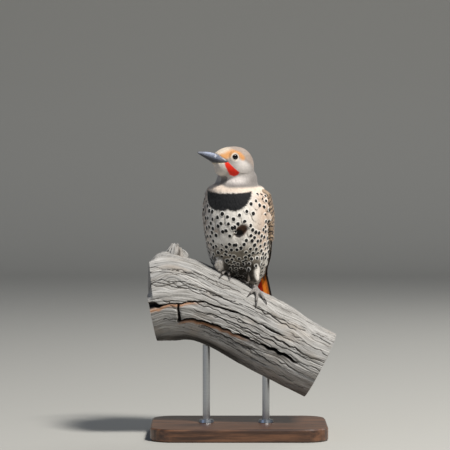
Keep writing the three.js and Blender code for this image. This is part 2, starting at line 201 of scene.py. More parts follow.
def face_outward(bm):
    """Turns every closed shell of a mesh so that its faces look outward."""
    bmesh.ops.recalc_face_normals(bm, faces=bm.faces)
    bm.normal_update()
    seen = set()
    for first in bm.faces:
        if first in seen:
            continue
        seen.add(first)
        shell = [first]
        for face in shell:
            beside = {other for edge in face.edges for other in edge.link_faces} - seen
            seen |= beside
            shell.extend(beside)
        volume = sum(face.calc_center_median().dot(face.normal) * face.calc_area() for face in shell)
        if volume < 0:
            bmesh.ops.reverse_faces(bm, faces=shell)


def points_of(mesh, field="co"):
    found = np.zeros(len(mesh.vertices) * 3, np.float32)
    mesh.vertices.foreach_get(field, found)
    return found.reshape(-1, 3).astype(float)


def carry(mesh, name, kind, values, domain="POINT"):
    """Stores one value, vector or colour for each point or face."""
    field = {"FLOAT": "value", "FLOAT_VECTOR": "vector", "FLOAT_COLOR": "color"}[kind]
    if kind == "FLOAT_COLOR":
        values = np.column_stack([values, np.ones(len(values))])
    made = mesh.attributes.new(name, kind, domain)
    made.data.foreach_set(field, np.ascontiguousarray(values, np.float32).ravel())


def merged_copy(*nodes):
    """A bmesh of some CAD nodes' meshes with their loose triangles joined up."""
    bm = bmesh.new()
    for name in nodes:
        bm.from_mesh(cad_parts[name].data)
    bmesh.ops.remove_doubles(bm, verts=bm.verts, dist=1e-6)
    return bm


def reach_to(points, *nodes):
    """Distance in millimetres from each point to some CAD nodes."""
    bm = merged_copy(*nodes)
    tree = BVHTree.FromBMesh(bm)
    bm.free()
    return np.array([tree.find_nearest(point)[3] for point in points]) / MM


# ------------------------------------------------------------------ materials
SOFT = {"interpolation_type": "SMOOTHSTEP"}
COLOURS = {"data_type": "RGBA"}  # such a Mix node has its share at 0, colours at 6 and 7, and its result at 2


def plug_in(made, links):
    """Gives a node's inputs their values or sockets."""
    for key, value in links.items():
        if isinstance(value, bpy.types.NodeSocket):
            made.id_data.links.new(value, made.inputs[key])
        else:
            made.inputs[key].default_value = value


def node(tree, kind, links=None, **settings):
    """Adds one shader node with its settings and links, and gives its outputs."""
    made = tree.nodes.new("ShaderNode" + kind)
    for key, value in settings.items():
        setattr(made, key, value)
    plug_in(made, links or {})
    return made.outputs


def new_material(name):
    """An empty material, as (material, a function that adds a node to it, shader)."""
    made = bpy.data.materials.new(name)
    made.use_nodes = True
    shader = next(n for n in made.node_tree.nodes if n.type == "BSDF_PRINCIPLED")
    return made, partial(node, made.node_tree), shader


def dress(add, shader, inputs, height=None, depth=0.0):
    """Gives the shader its inputs, and a relief of that depth in millimetres."""
    plug_in(shader, inputs)
    if height is not None:
        relief = add("Bump", {"Height": height, "Distance": depth * MM})
        plug_in(shader, {"Normal": relief[0]})


def place_in_mm(add):
    """Object coordinates, in millimetres."""
    per_metre = (1 / MM, 1 / MM, 1 / MM)
    return add("VectorMath", {0: add("TexCoord")["Object"], 1: per_metre}, operation="MULTIPLY")[0]


def mottle(add, place, per_mm, detail=2.0, rough=0.5):
    """Random patches from 0 to 1. per_mm is how many there are to a millimetre, or three along the axes."""
    scaled = add("VectorMath", {0: place, 1: tuple(np.ones(3) * per_mm)}, operation="MULTIPLY")[0]
    return add("TexNoise", {"Vector": scaled, "Scale": 1.0, "Detail": detail, "Roughness": rough})[0]


def wave(add, run, step):
    """A wave from -1 to 1 that repeats once in each step of a run, in millimetres."""
    turns = add("Math", {0: run, 1: 2 * math.pi / step}, operation="MULTIPLY")[0]
    return add("Math", {0: turns}, operation="SINE")[0]


def painted(add, colour, *layers):
    """Lays colours over a first one.

    Each layer has a pattern, the levels at which it starts to show and shows in full, a strength and a
    colour. A layer without levels shows by its pattern's own value.
    """
    for pattern, levels, strength, code in layers:
        if levels:
            span = {"Value": pattern, "From Min": levels[0], "From Max": levels[1], "To Max": strength}
            share = add("MapRange", span, **SOFT)[0]
        else:
            share = add("Math", {0: pattern, 1: strength}, operation="MULTIPLY")[0]
        colour = add("Mix", {0: share, 6: colour, 7: rgba(code)}, **COLOURS)[2]
    return colour


def feather_material(name, shaft_code, shaft_half, comb_step, under=False, notches=False):
    """Keratin barbs, matt and soft: a fine slanted comb on each side of a shaft.

    Each vane carries its own tone, and may carry black bars, one round black spot near its tip, or pale
    notches along its edges. The barbs are drawn coarser than life, comb_step apart, so that the comb shows.
    """
    material, add, shader = new_material(name)
    across, from_tip, _ = add("SeparateXYZ", {0: add("Attribute", attribute_name="vane")["Vector"]})
    spot, bar, seed = add("SeparateXYZ", {0: add("Attribute", attribute_name="marks")["Vector"]})
    tone = add("Attribute", attribute_name="tone")["Color"]
    side = add("Math", {0: across}, operation="ABSOLUTE")[0]
    wander = mottle(add, place_in_mm(add), 0.55, 3)

    # Bars cross the vane, bent towards the tip at the shaft.
    shifted = add("Math", {0: seed, 1: 1.6, 2: from_tip}, operation="MULTIPLY_ADD")[0]
    bent = add("Math", {0: side, 1: 0.35, 2: shifted}, operation="MULTIPLY_ADD")[0]
    bars = add("Math", {0: wander, 1: 0.7, 2: wave(add, bent, BAR_STEP)}, operation="MULTIPLY_ADD")[0]
    black = add("MapRange", {"Value": bars, "From Min": 0.55, "From Max": 0.85, "To Max": bar}, **SOFT)[0]

    if under:
        is_under = add("Attribute", attribute_name="under")["Fac"]
        tone_under = add("Attribute", attribute_name="tone_under")["Color"]
        tone = add("Mix", {0: is_under, 6: tone, 7: tone_under}, **COLOURS)[2]
    if notches:
        outer = add("MapRange", {"Value": side, "From Min": 2.4, "From Max": 3.2, "To Max": spot}, **SOFT)[0]
        tone = painted(add, tone, (wave(add, from_tip, NOTCH_STEP), (0.5, 0.75), outer, "#b9a78f"))
    else:
        # The spot lies a little more than its own radius in from the tip. A large one has a pale fringe.
        middle = add("Math", {0: spot, 1: 1.1}, operation="ADD")[0]
        along = add("Math", {0: from_tip, 1: middle}, operation="SUBTRACT")[0]
        along = add("Math", {0: along, 1: 0.94}, operation="MULTIPLY")[0]
        away = add("VectorMath", {0: add("CombineXYZ", {0: side, 1: along})[0]}, operation="LENGTH")["Value"]
        outside = add("Math", {0: away, 1: spot}, operation="SUBTRACT")[0]
        ragged = add("Math", {0: wander, 1: 0.9, 2: outside}, operation="MULTIPLY_ADD")[0]
        there = add("MapRange", {"Value": spot, "From Min": 0.1, "From Max": 0.5}, **SOFT)[0]
        inside = {"Value": ragged, "From Min": 0.56, "From Max": 0.34, "To Max": there}
        black = add("Math", {0: add("MapRange", inside, **SOFT)[0], 1: black}, operation="MAXIMUM")[0]
        large = add("MapRange", {"Value": spot, "From Min": 1.2, "From Max": 1.7, "To Max": 0.75}, **SOFT)[0]
        tone = painted(add, tone, (ragged, (1.7, 0.9), large, "#f1ede4"))

    slant = add("Math", {0: side, 1: 0.9, 2: from_tip}, operation="MULTIPLY_ADD")[0]
    comb = wave(add, slant, comb_step)
    cloudy = add("Math", {0: wander, 1: 0.3, 2: 0.85}, operation="MULTIPLY_ADD")[0]
    shade = add("Math", {0: comb, 1: 0.02, 2: cloudy}, operation="MULTIPLY_ADD")[0]
    plain = add("VectorMath", {0: tone, "Scale": shade}, operation="SCALE")[0]
    colour = painted(add, plain, (black, None, 1.0, "#12100f"))
    span = {"Value": side, "From Min": shaft_half, "From Max": shaft_half * 0.6}
    shaft = add("MapRange", span, **SOFT)[0]
    if shaft_code:
        colour = painted(add, colour, (shaft, None, 1.0, shaft_code))
    height = add("Math", {0: comb, 1: 0.5, 2: shaft}, operation="MULTIPLY_ADD")[0]
    inputs = {"Base Color": colour, "Roughness": 0.74, "Specular IOR Level": 0.25}
    dress(add, shader, inputs | {"Sheen Weight": 0.12, "Sheen Roughness": 0.5}, height, 0.035)
    return material


# ------------------------------------------------------------------ markings
def round_body(points):
    """Angle round the body from straight ahead, positive on the bird's left, and height."""
    left, front, high = BODY.local(points)
    axis = np.interp(high, *BELLY_AXIS)
    return np.degrees(np.arctan2(left, front - axis)), high


def bib_edges(around):
    """Upper and lower edge of the black breast patch, at an angle round the body."""
    x = (around - BIB_MIDDLE) / np.where(around < BIB_MIDDLE, 50, 53)
    corner = np.maximum(0, (np.abs(x) - 0.25) / 0.75)
    bottom = BIB_LOW + np.where(x < 0, 14 * corner**2.2, 26 * corner**2) + 1.8 * bell(around, -5, 3)
    return BIB_TOP + 2.6 * x * x, bottom


def bill_root(ahead, up):
    """How far inside the bare wedge of the bill's root each place on the side of the face is, in mm."""
    upper = np.interp(ahead, [16.5, 18.3, 22.5, 25.6, 27], [-4.5, -3.9, -2, 0.1, 0.8])
    lower = np.interp(ahead, [16.5, 18.4, 22, 25, 27], [-5.3, -6, -7.7, -8.4, -8.8])
    return np.minimum(np.minimum(upper - up, up - lower), ahead - 16.5)


def hollow_at(around, high):
    """1 in the middle of the ruffled hollow in the breast, 0 outside."""
    aside = around - HOLLOW["around"]
    above = high - HOLLOW["high"] - HOLLOW["slant"] * aside
    return blend(1.2, 0.95, np.hypot(aside / HOLLOW["wide"], above / HOLLOW["tall"]))


def trousers(around, high):
    """1 on the white tufts over the tops of the legs, 0 elsewhere."""
    tufts = []
    for angle, height, wide, tall in TROUSERS:
        tufts.append(blend(1.3, 0.8, np.hypot((around - angle) / wide, (high - height) / tall)))
    return np.max(tufts, axis=0)


def plumage(points):
    """Colour, spot radius in mm and strength of the bars, at each point of the bird."""
    around, high = round_body(points)
    flank = np.abs(around)
    side, ahead, up = HEAD.local(points)
    side = np.abs(side)
    tone = np.tile(linear("#d8d2c8"), (len(points), 1))

    def paint(code, share):
        share = np.clip(share, 0, 1)[:, None]
        tone[:] = tone * (1 - share) + linear(code) * share

    # The body: white breast, pinkish-buff flanks, brown back, a blank white place and a brown one on the
    # bird's right, a buff line over the black patch, painted shade in the hollow, and painted shade on
    # the belly between the legs.
    paint("#c6ab94", 0.85 * bell(around, 66, 24) * blend(190, 210, high))
    paint("#c6ab94", 0.6 * bell(around, -70, 22) * blend(190, 210, high))
    paint("#85725f", blend(94, 104, flank))
    blank = blend(1.3, 0.8, np.hypot((around + 21) / 15, (high - 213) / 4.5))
    paint("#e9e4db", 0.8 * blank)
    paint("#9c8672", 0.8 * bell(around, -28, 5) * bell(high, 222, 3.2))
    paint("#dac8b6", blend(262, 265, high) * blend(96, 80, flank))
    collar = 1.5 * np.cos(np.radians(around)) - 3 * blend(-5, -30, around)
    paint("#7f7974", blend(268.5, 271.5, high + collar))
    paint("#95877a", blend(268, 272, high) * blend(95, 140, flank))
    top, bottom = bib_edges(around)
    bib = blend(bottom - 0.5, bottom + 0.5, high) * blend(top + 0.5, top - 0.5, high)
    paint("#0d0d0f", bib)
    hollow = hollow_at(around, high)
    # Painted shade in the hollow: brown over the darker bases of the parted feathers, and a near-black core
    # of painted shadow low in it.
    paint("#5f4432", hollow)
    paint("#0f0c0a", hollow * blend(1.3, 0.8, np.hypot((around - 14) / 9, (high - 219.5) / 4.8)))
    white = trousers(around, high)
    # Painted shade on the belly between the legs, clear of the white tufts: olive-grey, near black lower
    # down.
    between = blend(62, 38, np.abs(around - 6)) * (1 - white)
    paint("#6f6554", 0.88 * blend(212, 199, high) * between)
    paint("#2b251c", 0.95 * blend(198, 183, high) * between)
    paint("#ece5db", white)
    paint("#b5a897", 0.55 * white * blend(0.1, 0.9, np.sin(1.3 * around)))

    # The head: grey face and throat, browner crown, cinnamon round the eye, scarlet moustache, and painted
    # shade in a crease behind it.
    on_head = blend(270, 276, high) * blend(-26, -20, ahead)
    paint("#9b8c80", on_head * blend(2, 9, up - 0.3 * ahead + 2))
    paint("#7f7064", 0.55 * on_head * blend(0, -12, ahead) * blend(0, 8, up))
    paint("#d0c8c1", on_head * blend(4, -1, up - 0.2 * ahead) * bell(ahead, -1, 11) * (side > 4))
    # The throat is its own pale grey, lightened further as painted light where the head shades it.
    paint("#cfc5ba", on_head * blend(-7, -11, up - 0.15 * ahead) * blend(8, 14, ahead))
    paint("#cdbda8", on_head * blend(8, 18, ahead) * blend(-3, 1, up))
    near = np.full(len(points), 99.0)
    band = np.array([(24, -1), (19, 0.4), (15.5, 3.9), (10.5, 7.2), (5.4, 6.8), (1.8, 4)])
    for start, end in zip(band[:-1], band[1:]):
        offset = np.stack([ahead, up], 1) - start
        share = np.clip(offset @ (end - start) / ((end - start) @ (end - start)), 0, 1)
        near = np.minimum(near, np.linalg.norm(offset - share[:, None] * (end - start), axis=1))
    paint("#c5894c", 0.92 * on_head * blend(4.8, 1, near) * blend(3, 8, side))
    chin = blend(-2.4, -0.6, bill_root(ahead, up)) * blend(15, 17, ahead) * blend(-4.5, -6, up)
    paint("#dccbb2", on_head * chin)
    # Painted shade in a crease low on the side of the head, behind the moustache.
    from_line = np.abs(up + 12.5 + 0.29 * (ahead + 2.1))
    crease_shade = blend(0.5, 0.25, from_line) * bell(ahead, -6, 4.5) * (side > 5)
    paint("#6d655d", 0.8 * on_head * crease_shade)
    middle = np.interp(ahead, [-1, 2, 7, 12, 16, 19], [-13.2, -14, -13.1, -10.7, -8, -6])
    moustache = np.interp(ahead, [-1.3, 0, 2, 7, 12, 16, 18, 19.3], [-1, 1.8, 2.9, 3.6, 3.5, 3, 1.8, -1])
    red = blend(0.4, -0.4, np.abs(up - middle) - moustache) * (side > 4)
    paint("#e6280a", on_head * red)
    paint("#d9cdbc", 0.85 * on_head * blend(5.0, 4.3, from_eyes(points)[0]))

    # Spots lie below the patch, and outside its corners; a smooth bare place is left on the left flank.
    spotted = blend(bottom + 0.5, bottom - 1.5, high) * (flank < FRONT_HALF) * (high < 262.5) * (high > 156)
    bare = np.exp(-(((around - 52) / 13) ** 4) - ((high - 236) / 12) ** 4)
    size = 1.95 - 0.4 * blend(206, 178, high) - 0.45 * blend(244, 256, high)
    ruffled = np.maximum(hollow, hollow_at(around, high - 2))
    spot = size * spotted * (bare < 0.5) * (ruffled < 0.35) * (white < 0.5) * (blank < 0.6)
    bar = blend(96, 102, flank) * blend(262, 252, high)
    return tone, spot, bar


def wing_plumage(points):
    """The same for the folded wings: brown, barred with black."""
    high = BODY.local(points)[2]
    tone = np.tile(linear("#8b745d"), (len(points), 1))
    pale = dice.random(len(points))[:, None] ** 2 * 0.5
    tone = tone * (1 - pale) + linear("#b9a287") * pale
    return tone, np.zeros(len(points)), 0.95 * blend(262, 252, high)


def lie(points):
    """Which way the plumage runs at each point, before it is laid along the skin."""
    high = BODY.local(points)[2]
    ahead = HEAD.local(points)[1]
    down = np.array([0, 0, -1.0])
    on_body = down - 0.28 * BODY.ahead
    drop = 0.25 + 1.2 * blend(4, -14, ahead)
    on_head = unit(points - BILL_BASE) + np.multiply.outer(drop, down)
    share = blend(270, 288, high)[:, None]
    return unit(on_head * share + on_body * (1 - share))


# ------------------------------------------------------------------ the skin
def even_flesh():
    """The fleshy parts as one even mesh, with the eyes' and the bill's hollows closed."""
    bm = merged_copy(*FLESH, "eye_left", "eye_right", "bill_upper", "bill_lower")
    bm.normal_update()
    for vert in bm.verts:
        vert.co += vert.normal * SWELL * MM
    rough = bpy.data.objects.new("rough", mesh_from(bm, "rough"))
    bpy.context.scene.collection.objects.link(rough)
    remesh = rough.modifiers.new("even", "REMESH")
    remesh.mode = "VOXEL"
    remesh.voxel_size = SKIN_GRAIN * MM
    even = bmesh.new()
    even.from_mesh(rough.evaluated_get(bpy.context.evaluated_depsgraph_get()).to_mesh())
    bpy.data.objects.remove(rough)
    cut = HEAD.world(0, BILL["face"], 0)
    everything = even.verts[:] + even.edges[:] + even.faces[:]
    bmesh.ops.bisect_plane(even, geom=everything, plane_co=cut, plane_no=HEAD.ahead, clear_outer=True)
    bmesh.ops.holes_fill(even, edges=[edge for edge in even.edges if edge.is_boundary])
    keep_outer(even)
    bmesh.ops.triangulate(even, faces=[face for face in even.faces if len(face.verts) > 4])
    return mesh_from(even, "skin")


def keep_outer(bm):
    """Deletes closed pockets inside, leaving the largest connected part."""
    left = set(bm.verts)
    best = set()
    while left:
        part = {left.pop()}
        edge = list(part)
        while edge:
            for link in edge.pop().link_edges:
                for other in link.verts:
                    if other in left:
                        left.discard(other)
                        part.add(other)
                        edge.append(other)
        if len(part) > len(best):
            best = part
    bmesh.ops.delete(bm, geom=[vert for vert in bm.verts if vert not in best], context="VERTS")


def smoothed(points, ends, weight, rounds):
    """Each point drawn towards the middle of its neighbours, that many times."""
    first, second = ends.T
    count = np.maximum(np.bincount(ends.ravel(), minlength=len(points)), 1)
    for _ in range(rounds):
        total = np.zeros_like(points)
        for axis in range(3):
            total[:, axis] = np.bincount(first, points[second, axis], len(points))
            total[:, axis] += np.bincount(second, points[first, axis], len(points))
        points = points + (total / count[:, None] - points) * 0.5 * weight[:, None]
    return points


class Skin:
    """The skin's points, the way out at each, and which part of the bird each belongs to."""

    def __init__(self):
        self.mesh = even_flesh()
        points = points_of(self.mesh)
        ends = np.zeros(len(self.mesh.edges) * 2, np.int32)
        self.mesh.edges.foreach_get("vertices", ends)
        legs = [f"{part}_{side}" for part in ("shank", "foot") for side in ("left", "right")]
        self.leg = blend(1.4, 0.7, reach_to(points, *legs))
        self.thigh = blend(1.6, 0.8, reach_to(points, "thigh_left", "thigh_right")) * (1 - self.leg)
        self.wing = blend(1.6, 0.8, reach_to(points, "wing_left", "wing_right"))
        points = smoothed(points, ends.reshape(-1, 2), 1 - 0.93 * self.leg, 24)
        self.settle_in(points)
        self.mesh.vertices.foreach_set("co", points.astype(np.float32).ravel())
        self.mesh.update()
        self.points = points_of(self.mesh)
        self.normals = points_of(self.mesh, "normal")
        self.tree = KDTree(len(points))
        for i, point in enumerate(self.points):
            self.tree.insert(point, i)
        self.tree.balance()

    def settle_in(self, points):
        """Draws the skin in by the coat's depth, and makes the eye sockets and the hollow in the breast."""
        self.mesh.vertices.foreach_set("co", points.astype(np.float32).ravel())
        self.mesh.update()
        out = points_of(self.mesh, "normal")
        around, high = round_body(points)
        side, ahead, up = HEAD.local(points)
        on_head = blend(270, 282, high) * blend(-24, -16, ahead)
        depth = 1.75 - 0.85 * on_head
        depth = depth * (1 - 0.6 * on_head * blend(6, 20, ahead))
        depth = depth * (1 - self.leg) + 0.3 * self.leg
        depth = depth * (1 - self.wing) + 0.9 * self.wing
        depth = depth * (1 - 0.5 * self.thigh) * (1 - 0.6 * blend(166, 152, high))
        depth = depth + 3.4 * hollow_at(around, high)
        depth = depth - 5.5 * trousers(around, high) * (around < 0)
        for way, middle, reach, swell in SWELLS:
            depth = depth - swell * bell(high, middle, reach) * blend(0.2, 0.8, out[:, 0] * way)
        depth = depth + 0.75 * blend(-0.4, 0.3, bill_root(ahead, up)) * (ahead < 27)
        points -= out * depth[:, None] * MM
        off_axis, level = from_eyes(points)
        ball = np.sqrt(np.maximum(0, (EYE_RADIUS - 0.45) ** 2 - off_axis**2))
        open_eye = off_axis < EYE_OPENING + 0.1
        lowest = np.where(open_eye, ball, EYE_RIM - 0.2)
        highest = np.where(open_eye, ball, EYE_RIM + 0.25 * np.maximum(0, off_axis - EYE_OPENING))
        move = (np.clip(level, lowest, highest) - level) * blend(7, 4.6, off_axis)
        looks = {hand: eye_place(hand, 0, 0, 1) - eye_place(hand, 0, 0, 0) for hand in (1, -1)}
        points += move[:, None] * np.where(side[:, None] > 0, looks[1], looks[-1])

    def touch(self, points):
        """The nearest places on the skin to some points, and the way out there."""
        flat = points.reshape(-1, 3)
        found = np.array([self.tree.find(point)[1] for point in flat])
        out = self.normals[found]
        lifted = np.sum((flat - self.points[found]) * out, axis=1, keepdims=True)
        placed = (flat - lifted * out).reshape(points.shape)
        return placed, out.reshape(points.shape), found.reshape(points.shape[:-1])


skin = Skin()


# ------------------------------------------------------------------ vanes
def ball_of_rows(sides, rows):
    """A unit ball as a bmesh, its points, and the row of each, counted from its upper pole."""
    bm = bmesh.new()
    bmesh.ops.create_uvsphere(bm, u_segments=sides, v_segments=rows - 1, radius=1)
    ball = np.array([vert.co for vert in bm.verts])
    row = np.rint((rows - 1) * np.arccos(np.clip(ball[:, 2], -1, 1)) / math.pi)
    return bm, ball, row.astype(int)


def vane_template(sides, rows):
    """One closed vane before it is bent to shape: a ball whose poles are the root and the tip.

    Gives its faces, each point's row and its place on the cross-section: x from one edge to the other,
    and z, which is above 0 on top.
    """
    bm, ball, row = ball_of_rows(sides, rows)
    ring = np.maximum(np.hypot(ball[:, 0], ball[:, 1]), 1e-9)
    at_pole = (row == 0) | (row == rows - 1)
    x = np.where(at_pole, 0, ball[:, 0] / ring)
    z = np.where(at_pole, 0, ball[:, 1] / ring)
    faces = [[vert.index for vert in face.verts] for face in bm.faces]
    bm.free()
    return faces, row, np.round(x, 6), np.round(z, 6)


def vane_mesh(
    name, centres, out, halves, tones, marks, patches, thick, camber,
    sides=4, tilt=0.0, inside=None, under=None,
):
    """Many vanes as one mesh. Each row of a vane has a centre, a way out and a half width in millimetres.

    tones, and under for the lower side, are called with the points that a vane covers. patches gives each
    vane's corner and size on the OFBake map. inside gives each row's place in a wider feather that the vane
    is one barb of.
    """
    count, rows = centres.shape[:2]
    faces, row, x, z = vane_template(sides, rows)
    along = unit(np.gradient(centres, axis=1))
    across = unit(np.cross(along, out))
    up = np.cross(across, along)
    half = halves[:, row] * (np.abs(x) > 0.01) * np.abs(x)
    share = row / (rows - 1)
    width = halves[:, row]
    crown = camber * width * (1 - x * x)
    bulge = 0.5 * thick * z * blend(0, 0.3, width) * (1 if sides == 4 else 0.9)
    rise = crown + tilt * width * x + bulge
    flat = centres[:, row] + across[:, row] * (half * np.sign(x))[..., None] * MM
    place = flat + up[:, row] * rise[..., None] * MM
    if inside is None:
        long = np.linalg.norm(np.diff(centres, axis=1), axis=2).cumsum(1) / MM
        long = np.concatenate([np.zeros((count, 1)), long], axis=1)
        inside = np.stack([0 * long, long[:, -1:] - long, 0 * long], axis=2)

    mesh = bpy.data.meshes.new(name)
    size = len(row)
    corners = np.concatenate([np.array(face) for face in faces])
    lengths = np.array([len(face) for face in faces])
    starts = np.concatenate([[0], lengths.cumsum()[:-1]])
    vertex = (corners + size * np.arange(count)[:, None]).ravel()
    mesh.vertices.add(size * count)
    mesh.vertices.foreach_set("co", place.astype(np.float32).ravel())
    mesh.loops.add(len(vertex))
    mesh.loops.foreach_set("vertex_index", vertex.astype(np.int32))
    mesh.polygons.add(len(faces) * count)
    first = (starts + len(corners) * np.arange(count)[:, None]).ravel()
    mesh.polygons.foreach_set("loop_start", first.astype(np.int32))
    mesh.update(calc_edges=True)
    mesh.polygons.foreach_set("use_smooth", np.ones(len(mesh.polygons), bool))
    mesh.set_sharp_from_angle(angle=math.radians(70))

    carry(mesh, "tone", "FLOAT_COLOR", tones(flat.reshape(-1, 3)).reshape(-1, 3))
    vane = inside[:, row].copy()
    vane[..., 0] += half * np.sign(x)
    carry(mesh, "vane", "FLOAT_VECTOR", vane.reshape(-1, 3))
    carry(mesh, "marks", "FLOAT_VECTOR", np.repeat(marks, size, axis=0))
    if under is not None:
        below = np.array([np.mean(z[face]) < -0.01 for face in faces], float)
        carry(mesh, "under", "FLOAT", np.tile(below, count), "FACE")
        carry(mesh, "tone_under", "FLOAT_COLOR", under(flat.reshape(-1, 3)).reshape(-1, 3))
    corner, patch = patches
    on_patch = np.stack([0.5 + 0.5 * x, share], axis=1)[None] * patch
    on_map = (corner[:, None] + on_patch).reshape(-1, 2)
    bake = mesh.uv_layers.new(name="OFBake")
    bake.data.foreach_set("uv", on_map[vertex].astype(np.float32).ravel())
    return mesh


def unwrapped(points, axes, low, high):
    """Places on a map of the skin that is cut up the back and rolled flat, by angle and height."""
    left, front, up = axes.local(points)
    u = 0.01 + 0.97 * (np.arctan2(left, front) / (2 * math.pi) + 0.5)
    v = 0.01 + 0.97 * np.clip((up - low) / (high - low), 0, 1)
    return np.stack([u, v], axis=1)


# ------------------------------------------------------------------ the coat
class Faces:
    """The skin's faces as triangles, to scatter feather roots on."""

    def __init__(self, mesh):
        mesh.calc_loop_triangles()
        corners = np.zeros(len(mesh.loop_triangles) * 3, np.int32)
        mesh.loop_triangles.foreach_get("vertices", corners)
        self.corners = corners.reshape(-1, 3)
        a, b, c = (skin.points[self.corners[:, i]] for i in range(3))
        self.area = np.linalg.norm(np.cross(b - a, c - a), axis=1) / 2 / MM**2

    def scatter(self, where, spacing):
        """Places about that far apart, over the skin's points picked out by where."""
        chosen = np.flatnonzero(where[self.corners].all(axis=1))
        area = self.area[chosen]
        step = spacing if np.ndim(spacing) else np.full(len(skin.points), float(spacing))
        local = step[self.corners[chosen, 0]]
        weight = area / local**2
        count = int(9 * weight.sum())
        picked = chosen[dice.choice(len(chosen), count, p=weight / weight.sum())]
        r = np.sqrt(dice.random(count))
        s = dice.random(count)
        parts = np.stack([1 - r, r * (1 - s), r * s], axis=1)
        places = np.einsum("ij,ijk->ik", parts, skin.points[self.corners[picked]])
        reach = step[self.corners[picked, 0]]
        cell = reach.max() * MM
        keys = np.floor(places / cell).astype(int)
        kept = {}
        result = []
        for i in range(count):
            x, y, z = keys[i]
            near = [
                j
                for dx in (-1, 0, 1)
                for dy in (-1, 0, 1)
                for dz in (-1, 0, 1)
                for j in kept.get((x + dx, y + dy, z + dz), ())
            ]
            if near:
                gap = places[near] - places[i]
                if (gap * gap).sum(axis=1).min() < (reach[i] * MM) ** 2:
                    continue
            kept.setdefault((x, y, z), []).append(i)
            result.append(i)
        return places[result]


def spread(roots, spacing, rounds):
    """Moves feather roots apart until they lie in an even pattern."""
    for _ in range(rounds):
        tree = KDTree(len(roots))
        for i, root in enumerate(roots):
            tree.insert(root, i)
        tree.balance()
        push = np.zeros_like(roots)
        for i, root in enumerate(roots):
            for place, j, far in tree.find_n(root, 7):
                if j != i and far < 1.15 * spacing * MM:
                    push[i] += (root - np.array(place)) / max(far, 1e-6) * (1.15 * spacing * MM - far)
        roots = skin.touch(roots + 0.3 * push)[0]
    return roots


def laid_down(roots, long, lift, rows, wander):
    """Rows of points from each root along the lie of the plumage, rising off the skin towards the tip."""
    count = len(roots)
    _, out, _ = skin.touch(roots)
    aim = lie(roots)
    aim = unit(aim - np.sum(aim * out, axis=1, keepdims=True) * out)
    turn = np.radians(dice.normal(0, wander, count))[:, None]
    aim = unit(aim * np.cos(turn) + np.cross(out, aim) * np.sin(turn))
    bases = np.zeros((count, rows, 3))
    ways = np.zeros((count, rows, 3))
    place = roots
    for row in range(rows):
        bases[:, row] = place
        ways[:, row] = out
        aim = unit(aim - np.sum(aim * out, axis=1, keepdims=True) * out)
        place, out, _ = skin.touch(place + aim * (long / (rows - 1))[:, None] * MM)
    t = np.linspace(0, 1, rows)
    rise = lift[:, None] * (-0.35 + 1.35 * np.sin(0.5 * math.pi * t**0.7))
    rise = rise * dice.uniform(0.8, 1.15, (count, 1))
    return bases, ways, bases + ways * rise[..., None] * MM


OUTLINE = ([0, 0.2, 0.5, 0.75, 0.88, 0.95, 1], [0.25, 0.62, 1, 0.96, 0.76, 0.52, 0.2])


def barbs(centres, out, wide, long, count):
    """Parts each feather into that many slender barbs, which end along its rounded outline."""
    feathers, rows = centres.shape[:2]
    t = np.linspace(0, 1, rows)
    along = unit(np.gradient(centres, axis=1))
    across = unit(np.cross(along, out))
    places = np.linspace(-0.88, 0.88, count)
    order = dice.permuted(np.tile(np.arange(count), (feathers, 1)), axis=1)
    all_rows, all_out, all_half, inside = [], [], [], []
    outline = np.interp(np.linspace(0.5, 1, 60), *OUTLINE)
    for i, x in enumerate(places):
        ends = 0.5 + 0.5 * np.sum(outline > abs(x)) / 60
        end = np.minimum(1, ends * dice.uniform(0.96, 1.02, (feathers, 1)))
        share = t * end
        low = np.minimum((share * (rows - 1)).astype(int), rows - 2)
        part = (share * (rows - 1) - low)[..., None]
        pick = np.arange(feathers)[:, None]
        centre = centres[pick, low] * (1 - part) + centres[pick, low + 1] * part
        way = unit(out[pick, low] * (1 - part) + out[pick, low + 1] * part)
        aside = across[pick, low] * (1 - part) + across[pick, low + 1] * part
        fan = wide[:, None] / 2 * x * (0.2 + 0.8 * blend(0, 0.62, share))
        crown = 0.1 * wide[:, None] * (1 - x * x) + 0.05 * (order[:, i : i + 1] / count - 0.5)
        all_rows.append(centre + (aside * fan[..., None] + way * crown[..., None]) * MM)
        all_out.append(way)
        taper = np.interp(t, [0, 0.15, 0.5, 0.85, 0.95, 1], [0.5, 0.8, 1, 1, 0.85, 0.4])
        all_half.append(np.broadcast_to(1.85 * wide[:, None] / 2 / count * taper, (feathers, rows)))
        inside.append(np.stack([fan, (1 - share) * long[:, None], 0 * share], axis=2))
    joined = []
    for part in (all_rows, all_out, all_half, inside):
        joined.append(np.stack(part, axis=1).reshape(feathers * count, rows, -1))
    return joined[0], joined[1], joined[2][..., 0], joined[3]


